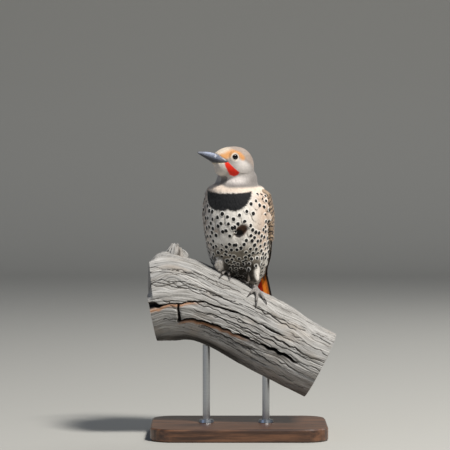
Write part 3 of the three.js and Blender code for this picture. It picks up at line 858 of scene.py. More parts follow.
def coat(
    name, where, material, slot, axes, spacing, long, wide, lift,
    rows=6, spots=1.0, wander=6, barbed=0, marking=plumage,
):
    """Lays one tract of feathers on the skin, by spacing, length, width and lift in millimetres.

    wander is how far they stray from the lie, in degrees. spots is the share of them that may have a spot.
    barbed is the number of barbs that each is parted into, or 0 for a plain vane.
    """
    roots = faces.scatter(where, spacing)
    if np.ndim(spacing) == 0 and spacing > 2:
        roots = spread(roots, spacing, 24)
    roots, _, found = skin.touch(roots)
    sizes = [np.broadcast_to(value, len(skin.points))[found] for value in (long, wide, lift)]
    count = len(roots)
    long = sizes[0] * dice.uniform(0.96, 1.04, count)
    wide = sizes[1] * dice.uniform(0.95, 1.05, count)
    bases, ways, centres = laid_down(roots, long, sizes[2], rows, wander)
    own_tone, spot, bar = marking(bases[:, -2])
    spot = spot * dice.uniform(0.88, 1.1, count) * (dice.random(count) < spots)
    marks = np.stack([spot, bar, dice.random(count)], axis=1)
    shade = dice.uniform(0.94, 1.05, count)
    low, high = (pick(axes.local(roots)[2]) for pick in (np.min, np.max))
    corners = unwrapped(roots, axes, low, high)
    inside = None
    if barbed:
        centres, ways, halves, inside = barbs(centres, ways, wide, long, barbed)
        marks, shade, corners = (np.repeat(values, barbed, axis=0) for values in (marks, shade, corners))
        thick, camber = 0.14, 0.1
    else:
        t = np.linspace(0, 1, rows)
        halves = wide[:, None] / 2 * np.interp(t, *OUTLINE) * dice.uniform(0.95, 1.05, (count, rows))
        thick, camber = 0.12, 0.12

    def tones(points):
        found = marking(points)[0].reshape(len(centres), -1, 3)
        if marking is wing_plumage:
            found = np.broadcast_to(np.repeat(own_tone, max(barbed, 1), axis=0)[:, None], found.shape)
        return found * shade[:, None, None]

    patches = (corners, BAKE_PATCH)
    mesh = vane_mesh(name, centres, ways, halves, tones, marks, patches, thick, camber, inside=inside)
    return new_piece(name, mesh, material, slot)


faces = Faces(skin.mesh)


def cover_head(plume):
    """Short smooth feathers, longer towards the nape. The eyes and the root of the bill stay bare."""
    _, high = round_body(skin.points)
    _, ahead, up = HEAD.local(skin.points)
    from_eye = from_eyes(skin.points)[0]
    in_bill = (bill_root(ahead, up) > -0.1) & (high > 270)
    bare = (from_eye < 3.85) | in_bill | (skin.leg > 0.5) | (ahead > BILL["face"])
    on_head = (high > 282) | ((high > 274) & (ahead > 2))
    step = 0.6 + 0.14 * blend(6, 20, from_eye) + 0.08 * blend(6, -14, ahead)
    long = 2.1 + 1.1 * blend(5, 14, from_eye) + 1.9 * blend(8, -14, ahead)
    coat("coat_head", on_head & ~bare, plume, "head_plumage", HEAD,
         spacing=step, long=long, wide=0.62 + 0.27 * long, lift=0.14 + 0.045 * long, rows=5, wander=7)
    on_neck = ~on_head & (high > NECK_LOW) & ~bare
    coat("coat_neck", on_neck, plume, "head_plumage", BODY, spacing=1.1, long=7, wide=3, lift=0.5, wander=7)


def breast_lengths(around, high):
    """The breast's feathers are shorter on the shoulders, and end at the upper edge of the hollow."""
    from_middle = around - HOLLOW["around"]
    over_hollow = high - HOLLOW["high"] - HOLLOW["tall"] - HOLLOW["slant"] * from_middle
    to_edge = np.maximum(4.5, over_hollow + dice.uniform(1.5, 6, len(high)))
    room = np.where(over_hollow > -8, to_edge, np.where(over_hollow > -19, 10, 15))
    room = np.where(np.abs(from_middle) < HOLLOW["wide"], room, 15)
    return np.minimum(15 - 6 * blend(244, 260, high), room)


def cover_body(plume, covert):
    """The tracts of the body, over a layer of down, and the small coverts of the folded wings."""
    around, high = round_body(skin.points)
    over_wing = (high > 205) & (around > -95) & (around < 71) & ((around < 0) | (high > COVERTS_LOW))
    beside_bib = np.abs(around - BIB_MIDDLE) > 55
    feathered = ((skin.wing < 0.5) | over_wing) & (skin.leg < 0.5) & (skin.thigh < 0.5)
    on_body = feathered & (high <= NECK_LOW + 5 * beside_bib)
    on_front = on_body & (np.abs(around) < FRONT_HALF)
    top, bottom = bib_edges(around)
    on_bib = on_front & (high > np.minimum(bottom - 2, 262))
    on_down = on_front & ~on_bib & (high > FRONT_LOW)
    on_breast = on_front & (high < bottom + 8) & ((high < top - 3) | beside_bib) & (high > FRONT_LOW)
    on_breast = on_breast & (hollow_at(around, high) < 0.4)
    on_back = on_body & ~on_front & (high > VENT_TOP)
    on_vent = on_body & ~on_down & (high <= VENT_TOP)
    on_thigh = ((skin.thigh >= 0.5) | (trousers(around, high) > 0.6)) & (skin.leg < 0.5)
    outward = np.sum(skin.normals * unit(skin.points * (1, 1, 0)), axis=1)
    on_wing = (skin.wing >= 0.5) & ~over_wing & (high <= 268) & (high > COVERTS_LOW) & (outward > 0.15)
    shoulder = blend(244, 260, high)

    pale, barred = (plume, "breast_plumage", BODY), (covert, "wing_plumage", BODY)
    coat("coat_bib", on_bib, *pale, spacing=1.7, long=8, wide=3.6, lift=0.9, spots=0, wander=6)
    coat("coat_down", on_down, *pale, spacing=1.9, long=8, wide=3.4, lift=0.6, spots=0, wander=9)
    coat("coat_breast", on_breast, *pale, spacing=4.55, long=breast_lengths(around, high),
         wide=6.8 - 1.4 * shoulder, lift=1.5 - 0.9 * shoulder, rows=7, wander=3, barbed=9)
    coat("coat_back", on_back, *barred, spacing=4.2, long=13, wide=7.2, lift=1.5, rows=7, wander=5, barbed=6)
    coat("coat_vent", on_vent, *pale, spacing=3.2, long=13, wide=6, lift=1.2, wander=7, barbed=5)
    coat("coat_thighs", on_thigh, *pale, spacing=1.5, long=6.5, wide=2.3, lift=0.75, spots=0, wander=10)
    coat("coat_coverts", on_wing, *barred, spacing=4.0, long=12.5, wide=6.6, lift=1.4, rows=7, wander=4,
         barbed=6, marking=wing_plumage)


body_feather = feather_material("contour_feather_barbs", None, 0.16, 0.36)
cover_head(body_feather)
cover_body(body_feather, feather_material("wing_covert_barbs", "#8a6a4e", 0.2, 0.6))


# ------------------------------------------------------------------ the skin as a piece
def skin_material():
    """Thin skin, matt, with the plumage's markings and pores; grey horny scutes on the legs and toes."""
    material, add, shader = new_material("bird_skin")
    place = place_in_mm(add)
    leg = add("Attribute", attribute_name="leg")["Fac"]
    tone = add("Attribute", attribute_name="tone")["Color"]
    cells = add("TexVoronoi", {"Vector": place, "Scale": 0.75}, feature="DISTANCE_TO_EDGE")["Distance"]
    scute = add("MapRange", {"Value": cells, "From Min": 0.0, "From Max": 0.12}, **SOFT)[0]
    worn = (mottle(add, place, 0.5), (0.3, 0.7), 1.0, "#847e79")
    horn = painted(add, rgba("#4f4b49"), (scute, None, 1.0, "#9b958e"), worn)
    colour = add("Mix", {0: leg, 6: tone, 7: horn}, **COLOURS)[2]
    height = add("Math", {0: scute, 1: leg, 2: mottle(add, place, 1.5)}, operation="MULTIPLY_ADD")[0]
    dress(add, shader, {"Base Color": colour, "Roughness": 0.6}, height, 0.25)
    return material


on_wings = blend(0.3, 0.7, skin.wing)[:, None]
skin_tone = plumage(skin.points)[0] * (1 - on_wings) + linear("#6b5949") * on_wings
carry(skin.mesh, "tone", "FLOAT_COLOR", skin_tone)
carry(skin.mesh, "leg", "FLOAT", skin.leg)
new_piece("skin", skin.mesh, skin_material(), "breast_plumage", *FLESH)


# ------------------------------------------------------------------ wings
class Wing:
    """The outer face of one folded wing.

    Places on it are given by share, from its leading to its trailing edge, and by height.
    """

    ROW_STEP = 3.0
    MIDDLE = ([129, 150, 166, 182, 200, 240, 275], [-46.5, -39, -30, -17, -7, 2, 2])  # height, and ahead

    def __init__(self, side):
        self.hand = 1 if side == "left" else -1
        bm = merged_copy(f"wing_{side}")
        self.tree = BVHTree.FromBMesh(bm)
        bm.free()
        self.ups = np.arange(131, 267, self.ROW_STEP)
        shares = np.linspace(0, 1, 15)
        rows = []
        for up in self.ups:
            found = [angle for angle in np.arange(20, 200, 1.0) if self.hit(angle, up) is not None]
            angles = np.interp(shares, [0, 1], [found[0] + 0.5, found[-1] - 0.5])
            rows.append([self.hit(angle, up) for angle in angles])
        grid = np.array([[point if point is not None else row[7] for point in row] for row in rows])
        for _ in range(2):
            grid[1:-1] = (grid[:-2] + 2 * grid[1:-1] + grid[2:]) / 4
        self.grid = grid
        self.width = np.linalg.norm(np.diff(grid, axis=1), axis=2).sum(axis=1) / MM

    def hit(self, angle, up):
        """Where the wing is first met from outside, at that angle from straight ahead, or None."""
        ahead = np.interp(up, *self.MIDDLE)
        turn = math.radians(angle)
        out = math.sin(turn) * self.hand * BODY.left + math.cos(turn) * BODY.ahead
        centre = BODY.world(0, ahead, up)
        return self.tree.ray_cast(Vector(centre + out * 0.09), Vector(-out), 0.0895)[0]

    def place(self, share, up, lift=0.0):
        """Points that far over the wing's face, and the way out there."""
        point = self.face(share, up)
        over = self.face(share + 0.03, up) - self.face(share - 0.03, up)
        down = self.face(share, up - 2) - self.face(share, up + 2)
        out = unit(np.cross(over, down)) * self.hand
        return point + out * np.asarray(lift)[..., None] * MM, out

    def face(self, share, up):
        """Points on the wing's face, between the grid's own."""
        rows, columns = self.grid.shape[:2]
        i = np.clip((up - self.ups[0]) / self.ROW_STEP, -1, rows)
        j = np.clip(share, -0.15, 1.15) * (columns - 1)
        i0 = np.clip(np.floor(i).astype(int), 0, rows - 2)
        j0 = np.clip(np.floor(j).astype(int), 0, columns - 2)
        a, b = (i - i0)[..., None], (j - j0)[..., None]
        g = self.grid
        low = g[i0, j0] * (1 - b) + g[i0, j0 + 1] * b
        high = g[i0 + 1, j0] * (1 - b) + g[i0 + 1, j0 + 1] * b
        return low * (1 - a) + high * a


# Each long feather of a folded wing lies beside the next, from the leading edge to the back. Its tip is
# at this height: six primaries, four secondaries, three tertials. The first five are dark and notched.
TIPS = [137, 130.5, 134, 141, 149, 157, 164, 167, 169.5, 172, 178, 187, 198]
PRIMARIES = 6
DARK = 5
QUILL_TOP = 238  # height of their roots
# How many of them lie side by side, by height.
BESIDE = ([129, 136, 145, 157, 168, 180, 195, 240], [1.7, 2.7, 4.2, 6.3, 10, 12, 13, 13])


def flight_feathers(side, material):
    wing = Wing(side)
    rows = 18
    t = np.linspace(0, 1, rows)
    count = len(TIPS)
    lane = np.arange(count)[:, None]
    tip = np.array(TIPS)[:, None]
    up = QUILL_TOP + (tip - QUILL_TOP) * t
    beside = np.interp(up, *BESIDE)
    share = np.clip((lane + 0.55) / beside, 0.03, 0.97)
    room = np.interp(up, wing.ups, wing.width) / beside
    shape = np.interp(t, [0, 0.1, 0.8, 0.92, 0.97, 1], [0.5, 0.9, 1, 0.8, 0.5, 0.12])
    halves = np.minimum(np.where(lane < PRIMARIES, 5.4, 6.4), 0.75 * room + 2.0) * shape
    lift = 0.5 + 0.3 * t + 0.05 * lane
    centres, out = wing.place(share, up, lift)
    # The tips cross behind the tail.
    behind = 6 * blend(186, 170, up) * blend(140, 155, up)
    centres = centres - BODY.ahead * behind[..., None] * MM
    tone = np.where(lane < DARK, linear("#2e2622"), linear("#7f6b58"))[:, None, :]

    def tones(points):
        return np.broadcast_to(tone, (count, len(points) // count, 3))

    notches = np.where(lane[:, 0] < DARK, 1.0, 0.0)
    marks = np.stack([notches, 1 - notches, dice.random(count)], axis=1)
    corner = np.stack([0.01 + 0.07 * lane[:, 0], np.full(count, 0.02)], axis=1)
    size = np.array([0.06, 0.96])
    tilt = 0.13 * wing.hand
    name = f"flight_feathers_{side}"
    mesh = vane_mesh(name, centres, out, halves, tones, marks, (corner, size),
                     thick=0.3, camber=0.06, sides=10, tilt=tilt)
    return new_piece(name, mesh, material, "wing_plumage")


# ------------------------------------------------------------------ tail
TAIL_SPREAD = ([0, 0.5, 1], [9, 15.8, 18])  # share of the tail's length, and half the spread of its shafts
TAIL_LANES = [0.07, 0.22, 0.42, 0.62, 0.82, 1]  # shares of that spread, from the middle pair outwards


def tail_feathers(material):
    """Twelve stiff pointed feathers, stacked from the outer pairs up to the middle pair on the back side."""
    points = points_of(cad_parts["tail"].data)
    middle = points.mean(axis=0)
    axes = np.linalg.svd(points - middle, full_matrices=False)[2]
    down = axes[0] * -np.sign(axes[0][2])
    right = axes[1] * np.sign(axes[1] @ BODY.left)
    out = axes[2] * -np.sign(axes[2] @ BODY.ahead)
    run = (points - middle) @ down
    long = (run.max() - run.min()) / MM
    start = middle + down * run.min()
    places = np.array([-lane for lane in TAIL_LANES[::-1]] + TAIL_LANES)
    count, rows = len(places), 16
    t = np.linspace(0, 1, rows)
    x = places[:, None]
    reach = long * (1 - 0.17 * np.abs(x) ** 1.6)
    across = x * np.interp(t, *TAIL_SPREAD)
    sag = -3.2 * x * x * t
    lift = sag + 0.9 - 1.3 * np.abs(x) + 0.1 * (x > 0)
    centres = start + ((t * reach)[..., None] * down + across[..., None] * right + lift[..., None] * out) * MM
    way = np.broadcast_to(out, centres.shape)
    shape = np.interp(t, [0, 0.15, 0.8, 0.9, 0.96, 1], [0.6, 0.9, 1, 0.72, 0.36, 0.08])
    halves = np.broadcast_to(np.interp(np.abs(x), [0, 1], [6.6, 4.8]) * shape, (count, rows)).copy()

    def above(points):
        return np.broadcast_to(linear("#191413"), (len(points), 3)).reshape(count, -1, 3)

    def below(points):
        offset = (points - start) / MM
        share = offset @ down / long
        from_edge = np.interp(share, *TAIL_SPREAD) + 4.6 - np.abs(offset @ right)
        # The underside's own orange-red, brightened as painted light shining through the vanes; the deeper
        # red farther in from the outer edge is painted shade.
        tone = np.tile(linear("#ff8f22"), (len(points), 1))
        deep = blend(7.8, 8.8, from_edge)[:, None]
        tone = tone * (1 - deep) + linear("#ea3418") * deep
        black = np.maximum(blend(0.74, 0.82, share), blend(3.3, 2.7, from_edge))[:, None]
        return (tone * (1 - black) + linear("#171110") * black).reshape(count, -1, 3)

    marks = np.zeros((count, 3))
    marks[:, 2] = dice.random(count)
    corner = np.stack([0.01 + 0.08 * np.arange(count), np.full(count, 0.02)], axis=1)
    size = np.array([0.07, 0.96])
    mesh = vane_mesh("tail_feathers", centres, way, halves, above, marks, (corner, size),
                     thick=0.34, camber=0.05, sides=10, under=below)
    return new_piece("tail_feathers", mesh, material, "tail_plumage", "tail")


flight = feather_material("flight_feather_vane", "#b4452e", 0.32, 0.7, notches=True)
tail_vane = feather_material("tail_feather_vane", "#b8402a", 0.26, 0.45, under=True)
flight_feathers("left", flight)
flight_feathers("right", flight)
tail_feathers(tail_vane)


# ------------------------------------------------------------------ bill, eyes, lids and claws
# Rows of share of the way to the tip, then heights of the cutting edge, the ridge and the keel over the
# bill's own line, and the half width.
BILL_SIZES = [
    (0, -0.5, 0.9, -1.7, 12), (0.1, -0.3, 1.5, -2.4, 11.9), (0.2, 0.1, 3.0, -3.5, 10),
    (0.3, 0.5, 4.6, -4.2, 7.4), (0.36, 0.6, 5.3, -4.3, 5.6), (0.42, 0.7, 5.4, -4.1, 4.7),
    (0.6, 0.7, 4.6, -3.1, 3.4), (0.8, 0.4, 3.0, -2.0, 2.1), (0.93, 0.1, 1.5, -1.1, 1.2),
    (1, 0, 0.4, -0.6, 0.55),
]


def bill_half(upper, material):
    """One horny half: a ridged vault that runs out to a chisel tip, flat where it meets the other half."""
    rows, sides = 44, 28
    _, row, x, z = vane_template(sides, rows)
    bm = ball_of_rows(sides, rows)[0]
    sizes = np.array(BILL_SIZES)
    t = row / (rows - 1) * (1 if upper else 0.975)
    edge, ridge, keel, half = (np.interp(t, sizes[:, 0], sizes[:, i]) for i in range(1, 5))
    lip = edge + (0.12 if upper else -0.12)
    tall = np.maximum(0.25, ridge - lip if upper else lip - keel)
    boxy = 0.9 - 0.5 * blend(0.42, 0.26, t)
    out = np.where(z > 0, np.abs(z) ** boxy * tall, -0.12 * np.abs(z))
    x = np.sign(x) * np.abs(x) ** boxy
    out = np.where((row == 0) | (row == rows - 1), 0.3 * tall, out)
    ahead = BILL["gape"] + t * (BILL["tip"] - BILL["gape"])
    level = BILL["up"] + lip + (out if upper else -out)
    nostril = np.zeros(len(x))
    if upper:
        rise = level - BILL["up"]
        nostril = bell(ahead, 28.6, 1.7) * bell(rise + 0.1 * (ahead - 28), 2.7, 0.6)
        groove = bell(rise - 0.075 * (48 - ahead), 0.9, 0.35) * blend(46, 42, ahead)
        half = half - (0.7 * nostril + 0.14 * groove) * (np.abs(x) > 0.3)
    places = HEAD.world(half * x, ahead, level)
    for vert, place in zip(bm.verts, places):
        vert.co = place
    face_outward(bm)
    name = "bill_upper" if upper else "bill_lower"
    mesh = mesh_from(bm, f"{name}_horn", 50)
    height = out / tall * (1 if upper else -1)
    carry(mesh, "bill", "FLOAT_VECTOR", np.stack([t, nostril, height], axis=1))
    return new_piece(f"{name}_horn", mesh, material, "bill_horn", name)


def bill_material():
    """Horn: bluish slate grey, finely streaked lengthways, with a painted highlight along the ridge and
    painted shade along the keel and in the nostrils.
    """
    material, add, shader = new_material("bill_horn_polished")
    t, nostril, height = add("SeparateXYZ", {0: add("Attribute", attribute_name="bill")["Vector"]})
    from_middle = add("Math", {0: t, 1: 0.58}, operation="SUBTRACT")[0]
    from_middle = add("Math", {0: from_middle}, operation="ABSOLUTE")[0]
    ridge = {"Value": from_middle, "From Min": 0.3, "From Max": 0.08, "To Max": 0.6}
    along = add("CombineXYZ", {0: add("Math", {0: t, 1: 6.0}, operation="MULTIPLY")[0]})[0]
    place = {0: place_in_mm(add), 1: (0.6, 0.6, 0.6), 2: along}
    streak = mottle(add, add("VectorMath", place, operation="MULTIPLY_ADD")[0], 1.6, 4, 0.6)
    colour = painted(
        add, rgba("#494d57"),
        (streak, (0.3, 0.75), 1.0, "#7b8294"),
        # Painted highlight along the top of the upper half, strongest midway to the tip.
        (height, (0.2, 0.6), add("MapRange", ridge, **SOFT)[0], "#98a0b6"),
        # Painted shade on the undersides, darkest towards the keel.
        (height, (0.0, -0.45), 0.9, "#1c1e24"),
        (t, (0.4, 0.15), 0.35, "#6e675f"),
        (t, (0.84, 1.0), 1.0, "#5d616b"),
        # Painted shade in the nostril's slot.
        (nostril, (0.35, 0.7), 1.0, "#0d0c0c"),
    )
    inputs = {"Base Color": colour, "Roughness": 0.42, "Coat Weight": 0.15, "Coat Roughness": 0.25}
    dress(add, shader, inputs, streak, 0.15)
    return material


def eyes(material):
    """Two glossy balls with a slight bulge in front, as deep in the head as real ones."""
    bm = bmesh.new()
    for hand in (1, -1):
        ball = bmesh.ops.create_uvsphere(bm, u_segments=36, v_segments=24, radius=EYE_RADIUS)["verts"]
        for vert in ball:
            x, y, z = vert.co
            cornea = 0.18 * max(0.0, z / EYE_RADIUS) ** 6
            vert.co = eye_place(hand, x, y, z + cornea)
    face_outward(bm)
    mesh = mesh_from(bm, "eyes")
    carry(mesh, "off_axis", "FLOAT", from_eyes(points_of(mesh))[0])
    return new_piece("eyes", mesh, material, "eye", "eye_left", "eye_right")


def eye_material():
    """Wet cornea over a dark brown iris: near black, with one clear highlight."""
    material, add, shader = new_material("eye_cornea_wet")
    off_axis = add("Attribute", attribute_name="off_axis")["Fac"]
    iris, rim = (off_axis, (1.55, 1.8), 1.0, "#150b08"), (off_axis, (2.5, 3.1), 1.0, "#060505")
    colour = painted(add, rgba("#020202"), iris, rim)
    inputs = {"Base Color": colour, "Roughness": 0.05, "Specular IOR Level": 0.3}
    dress(add, shader, inputs | {"Coat Weight": 0.1, "Coat Roughness": 0.02})
    return material


def lids(material):
    """A beaded rim of bare skin round each eye, drawn out in front and behind, fuller low in front."""
    thick = 0.36
    ring_radius = EYE_OPENING + 0.22
    bm = bmesh.new()
    for hand in (1, -1):
        ring = bmesh.ops.create_circle(bm, segments=10, radius=thick)["verts"]
        bmesh.ops.rotate(bm, verts=ring, cent=(0, 0, 0), matrix=Matrix.Rotation(math.pi / 2, 3, "X"))
        bmesh.ops.translate(bm, verts=ring, vec=(ring_radius, 0, 0))
        geom = ring + list({edge for vert in ring for edge in vert.link_edges})
        turn = {"axis": (0, 0, 1), "cent": (0, 0, 0), "angle": 2 * math.pi, "steps": 72}
        bmesh.ops.spin(bm, geom=geom, use_merge=True, **turn)
        for vert in [vert for vert in bm.verts if vert.co.length > 1]:
            x, y, z = vert.co
            turn = math.atan2(y, x)
            fat = 1 + 0.45 * max(0.0, math.cos(turn + math.pi / 4)) + 0.05 * math.cos(24 * turn)
            middle = EYE_OPENING - 0.2 + thick * fat + 0.3 * abs(math.cos(turn)) ** 8
            reach = middle + (math.hypot(x, y) - ring_radius) * fat
            front, up = reach * math.cos(turn), 0.96 * reach * math.sin(turn)
            vert.co = eye_place(hand, front, up - 0.06 * front, EYE_RIM + z * fat)
    bmesh.ops.remove_doubles(bm, verts=bm.verts, dist=1e-6)
    face_outward(bm)
    return new_piece("eyelids", mesh_from(bm, "eyelids"), material, "head_plumage")


def lid_material():
    """Bare pale skin, matt and finely pimpled."""
    material, add, shader = new_material("eyelid_skin")
    grain = mottle(add, place_in_mm(add), 2.2, 3)
    colour = painted(add, rgba("#a89e91"), (grain, (0.35, 0.65), 1.0, "#d0c6b9"))
    dress(add, shader, {"Base Color": colour, "Roughness": 0.6}, grain, 0.12)
    return material


def claws(material):
    """Eight hooked claws, rounded from the solids."""
    names = [f"claw_{side}_{i}" for side in ("left", "right") for i in (1, 2, 3, 4)]
    bm = merged_copy(*names)
    bm.normal_update()
    for vert in bm.verts:
        vert.co += vert.normal * 0.12 * MM
    made = new_piece("claws", mesh_from(bm, "claws"), material, "claw", *names)
    rounder = made.modifiers.new("rounder", "SUBSURF")
    rounder.levels = rounder.render_levels = 2
    return made


def claw_material():
    """Dark horn, satin, with paler worn patches."""
    material, add, shader = new_material("claw_horn")
    grain = mottle(add, place_in_mm(add), 0.9, 3)
    colour = painted(add, rgba("#221e1c"), (grain, (0.3, 0.7), 1.0, "#4c4440"))
    dress(add, shader, {"Base Color": colour, "Roughness": 0.35}, grain, 0.1)
    return material


horn = bill_material()
bill_half(True, horn)
bill_half(False, horn)
eyes(eye_material())
lids(lid_material())
claws(claw_material())


# ------------------------------------------------------------------ the limb
# The limb's middle line, as its solid has it, and the rows and columns of its skin of wood.
LIMB = np.array([(-97, 2, 149.5), (-58, 1, 148), (-20, 0, 134), (18, 0, 114.8), (56, 0, 93.3), (88, 1, 76.5)])
LIMB_ROWS, LIMB_SIDES, END_ROWS = 214, 440, 12
MEAN_RADIUS = 40
# Long cracks: shares of the length with degrees from the top towards -Y, then width, depth and undercut in
# mm, and up to which share the wood below is still warm.
LOWER_CRACK = [(0.17, 123), (0.2, 121), (0.28, 114.5), (0.4, 110.5), (0.52, 108), (0.645, 103)]
LOWER_CRACK += [(0.75, 101), (0.9, 100)]
UPPER_CRACK = [(-0.05, 101), (0.06, 99), (0.185, 92.5), (0.27, 84), (0.375, 80), (0.5, 76)]
UPPER_CRACK += [(0.62, 76), (0.78, 70)]
CRACKS = [
    (LOWER_CRACK, 2.2, 9, 1.6, 0.62),
    (UPPER_CRACK, 1.2, 6, 0.6, 0.3),
    ([(0.36, 124), (0.6, 122), (0.9, 119)], 0.7, 3.0, 0.4, 0),
    ([(0.3, 97), (0.5, 93), (0.7, 90), (0.98, 88)], 0.7, 3.0, 0.5, 0),
    ([(0.13, 70), (0.3, 66), (0.5, 61), (0.68, 58)], 0.6, 2.4, 0.3, 0),
    ([(0.5, 52), (0.75, 50), (1.05, 47)], 0.6, 2.6, 0.2, 0),
    ([(0.08, 48), (0.3, 44), (0.42, 40)], 0.5, 2.2, 0.2, 0),
    ([(0.44, 84), (0.62, 84), (0.9, 80)], 0.5, 2.2, 0.3, 0),
    ([(0.34, 131), (0.55, 133), (0.8, 130)], 0.6, 2.4, 0.3, 0),
]
CHECKS = 110  # the number of short fine drying checks
# Knots that the grain bends round: share of the length, degrees, and size in mm.
KNOTS = [(0.12, 69, 9), (0.33, -70, 7), (0.66, 150, 6)]


def limb_line(share):
    """The limb's middle line at shares of its length, as points and the ways along it, up and towards -Y.

    The length comes last.
    """
    x = np.linspace(LIMB[0, 0], LIMB[-1, 0], 400)
    aside, height = (np.polyval(np.polyfit(LIMB[:, 0], LIMB[:, i], i + 2), x) for i in (1, 2))
    line = np.stack([x, aside, height], 1)
    long = np.concatenate([[0], np.linalg.norm(np.diff(line, axis=0), axis=1).cumsum()])
    place = np.clip(share, 0, 1) * long[-1]
    centre = np.stack([np.interp(place, long, line[:, i]) for i in range(3)], -1)
    slope = unit(np.gradient(line, axis=0))
    along = unit(np.stack([np.interp(place, long, slope[:, i]) for i in range(3)], -1))
    front = np.array([0, -1.0, 0])
    up = unit(np.cross(along, front))
    up = up * np.sign(up[..., 2:])
    return centre, along, up, front, long[-1]


def lattice(around, along, cells_around, cells_along, seed):
    """Smooth random values from -1 to 1 over the limb, closed round it.

    around is in turns, and along in shares of the length.
    """

    def at(i, j):
        return values[np.clip(i, 0, cells_along + 2), j % cells_around]

    values = np.random.default_rng(seed).uniform(-1, 1, (cells_along + 3, cells_around))
    u = (around % 1) * cells_around
    v = np.clip(along, -0.1, 1.1) * cells_along + 1
    u0, v0 = np.floor(u).astype(int), np.clip(np.floor(v).astype(int), 0, cells_along + 1)
    a, b = blend(0, 1, u - u0), blend(0, 1, v - v0)
    low = at(v0, u0) * (1 - a) + at(v0, u0 + 1) * a
    high = at(v0 + 1, u0) * (1 - a) + at(v0 + 1, u0 + 1) * a
    return low * (1 - b) + high * b


def drying_checks(share, degrees, radius):
    """How deep short fine checks are at each point, in mm. Most are on the side towards -Y."""
    small = np.random.default_rng(5)
    deep = np.zeros(len(share))
    for i in range(CHECKS):
        start = small.uniform(-0.1, 0.95)
        angle = small.uniform(20, 160) if i % 5 < 3 else small.uniform(-180, 180)
        long, wide, depth = small.uniform(0.08, 0.4), small.uniform(0.45, 0.8), small.uniform(0.8, 2.2)
        drift = small.uniform(-8, 8)
        middle = angle + drift * (share - start) + 2 * lattice(0 * share, share, 1, 40, int(angle + 400))
        away = (degrees - middle + 180) % 360 - 180
        ends = blend(start, start + 0.05, share) * blend(start + long, start + long - 0.07, share)
        deep += ends * depth * np.maximum(0, 1 - np.abs(np.radians(away) * radius) / wide)
    return deep


def crack_depth(share, degrees, radius):
    """How far cracks and checks sink the wood, in mm, how dark they are painted as shade, and how warm the
    wood below is.
    """
    sunk, black, warm = np.zeros((3, len(share)))
    for line, width, depth, undercut, fresh in CRACKS:
        shares, angles = np.array(line).T
        middle = np.interp(share, shares, angles) + 1.6 * lattice(0 * share, share, 1, 34, int(depth * 10))
        away = np.radians(degrees - middle) * radius
        ends = blend(shares[0], shares[0] + 0.05, share) * blend(shares[-1], shares[-1] - 0.12, share)
        wide = width * (0.7 + 0.5 * lattice(0 * share + 0.5, share, 3, 20, int(width * 100)))
        wide = wide * (1 + 4 * blend(0.1, 0, share) * (shares[0] < 0))
        gap = ends * depth * np.maximum(0, 1 - np.abs(away) / wide) ** 0.8
        sunk += gap + ends * undercut * np.where(away > 0, np.exp(-away / 9), 0)
        black += gap
        warm += ends * bell(away, wide + 1.2, 1.6) * blend(fresh, fresh - 0.1, share) * (fresh > 0)
    # A short break across the grain joins the two longest cracks.
    below = degrees - 97
    middle = 0.165 + 0.0009 * below + 0.006 * lattice(degrees / 360, 0 * share, 90, 2, 15)
    joint = bell(share, middle, 0.004 + 0.0002 * np.clip(below, 0, 25))
    joint = 5 * joint * blend(-4, 0, below) * blend(27, 24, below)
    checks = drying_checks(share, degrees, radius)
    return sunk + joint + checks, black + joint + 1.3 * checks, np.minimum(warm, 1)


def solid_radius(share, degrees):
    """How far out the limb's solid reaches from its middle line, in mm, without the stump on its top."""
    rings, spokes = 41, 72
    solid = merged_copy("perch")
    tree = BVHTree.FromBMesh(solid)
    solid.free()
    coarse = np.zeros((rings, spokes))
    for i, ring_share in enumerate(np.linspace(0.004, 0.996, rings)):
        centre, _, up, front, _ = limb_line(np.array(ring_share))
        for j in range(spokes):
            turn = 2 * math.pi * j / spokes
            out = math.cos(turn) * up + math.sin(turn) * front
            far = tree.ray_cast(Vector(centre * MM), Vector(out))[3]
            coarse[i, j] = (far or 0.04) / MM
    coarse = np.minimum(coarse, 1.07 * np.median(coarse, axis=1, keepdims=True))
    for _ in range(2):
        coarse = (np.roll(coarse, 1, 1) + 2 * coarse + np.roll(coarse, -1, 1)) / 4
    u, v = (degrees % 360) / 360 * spokes, share * (rings - 1)
    u0, v0 = np.floor(u).astype(int), np.minimum(np.floor(v).astype(int), rings - 2)
    a, b = u - u0, v - v0
    first, second = u0 % spokes, (u0 + 1) % spokes
    radius = (coarse[v0, first] * (1 - a) + coarse[v0, second] * a) * (1 - b)
    return radius + (coarse[v0 + 1, first] * (1 - a) + coarse[v0 + 1, second] * a) * b


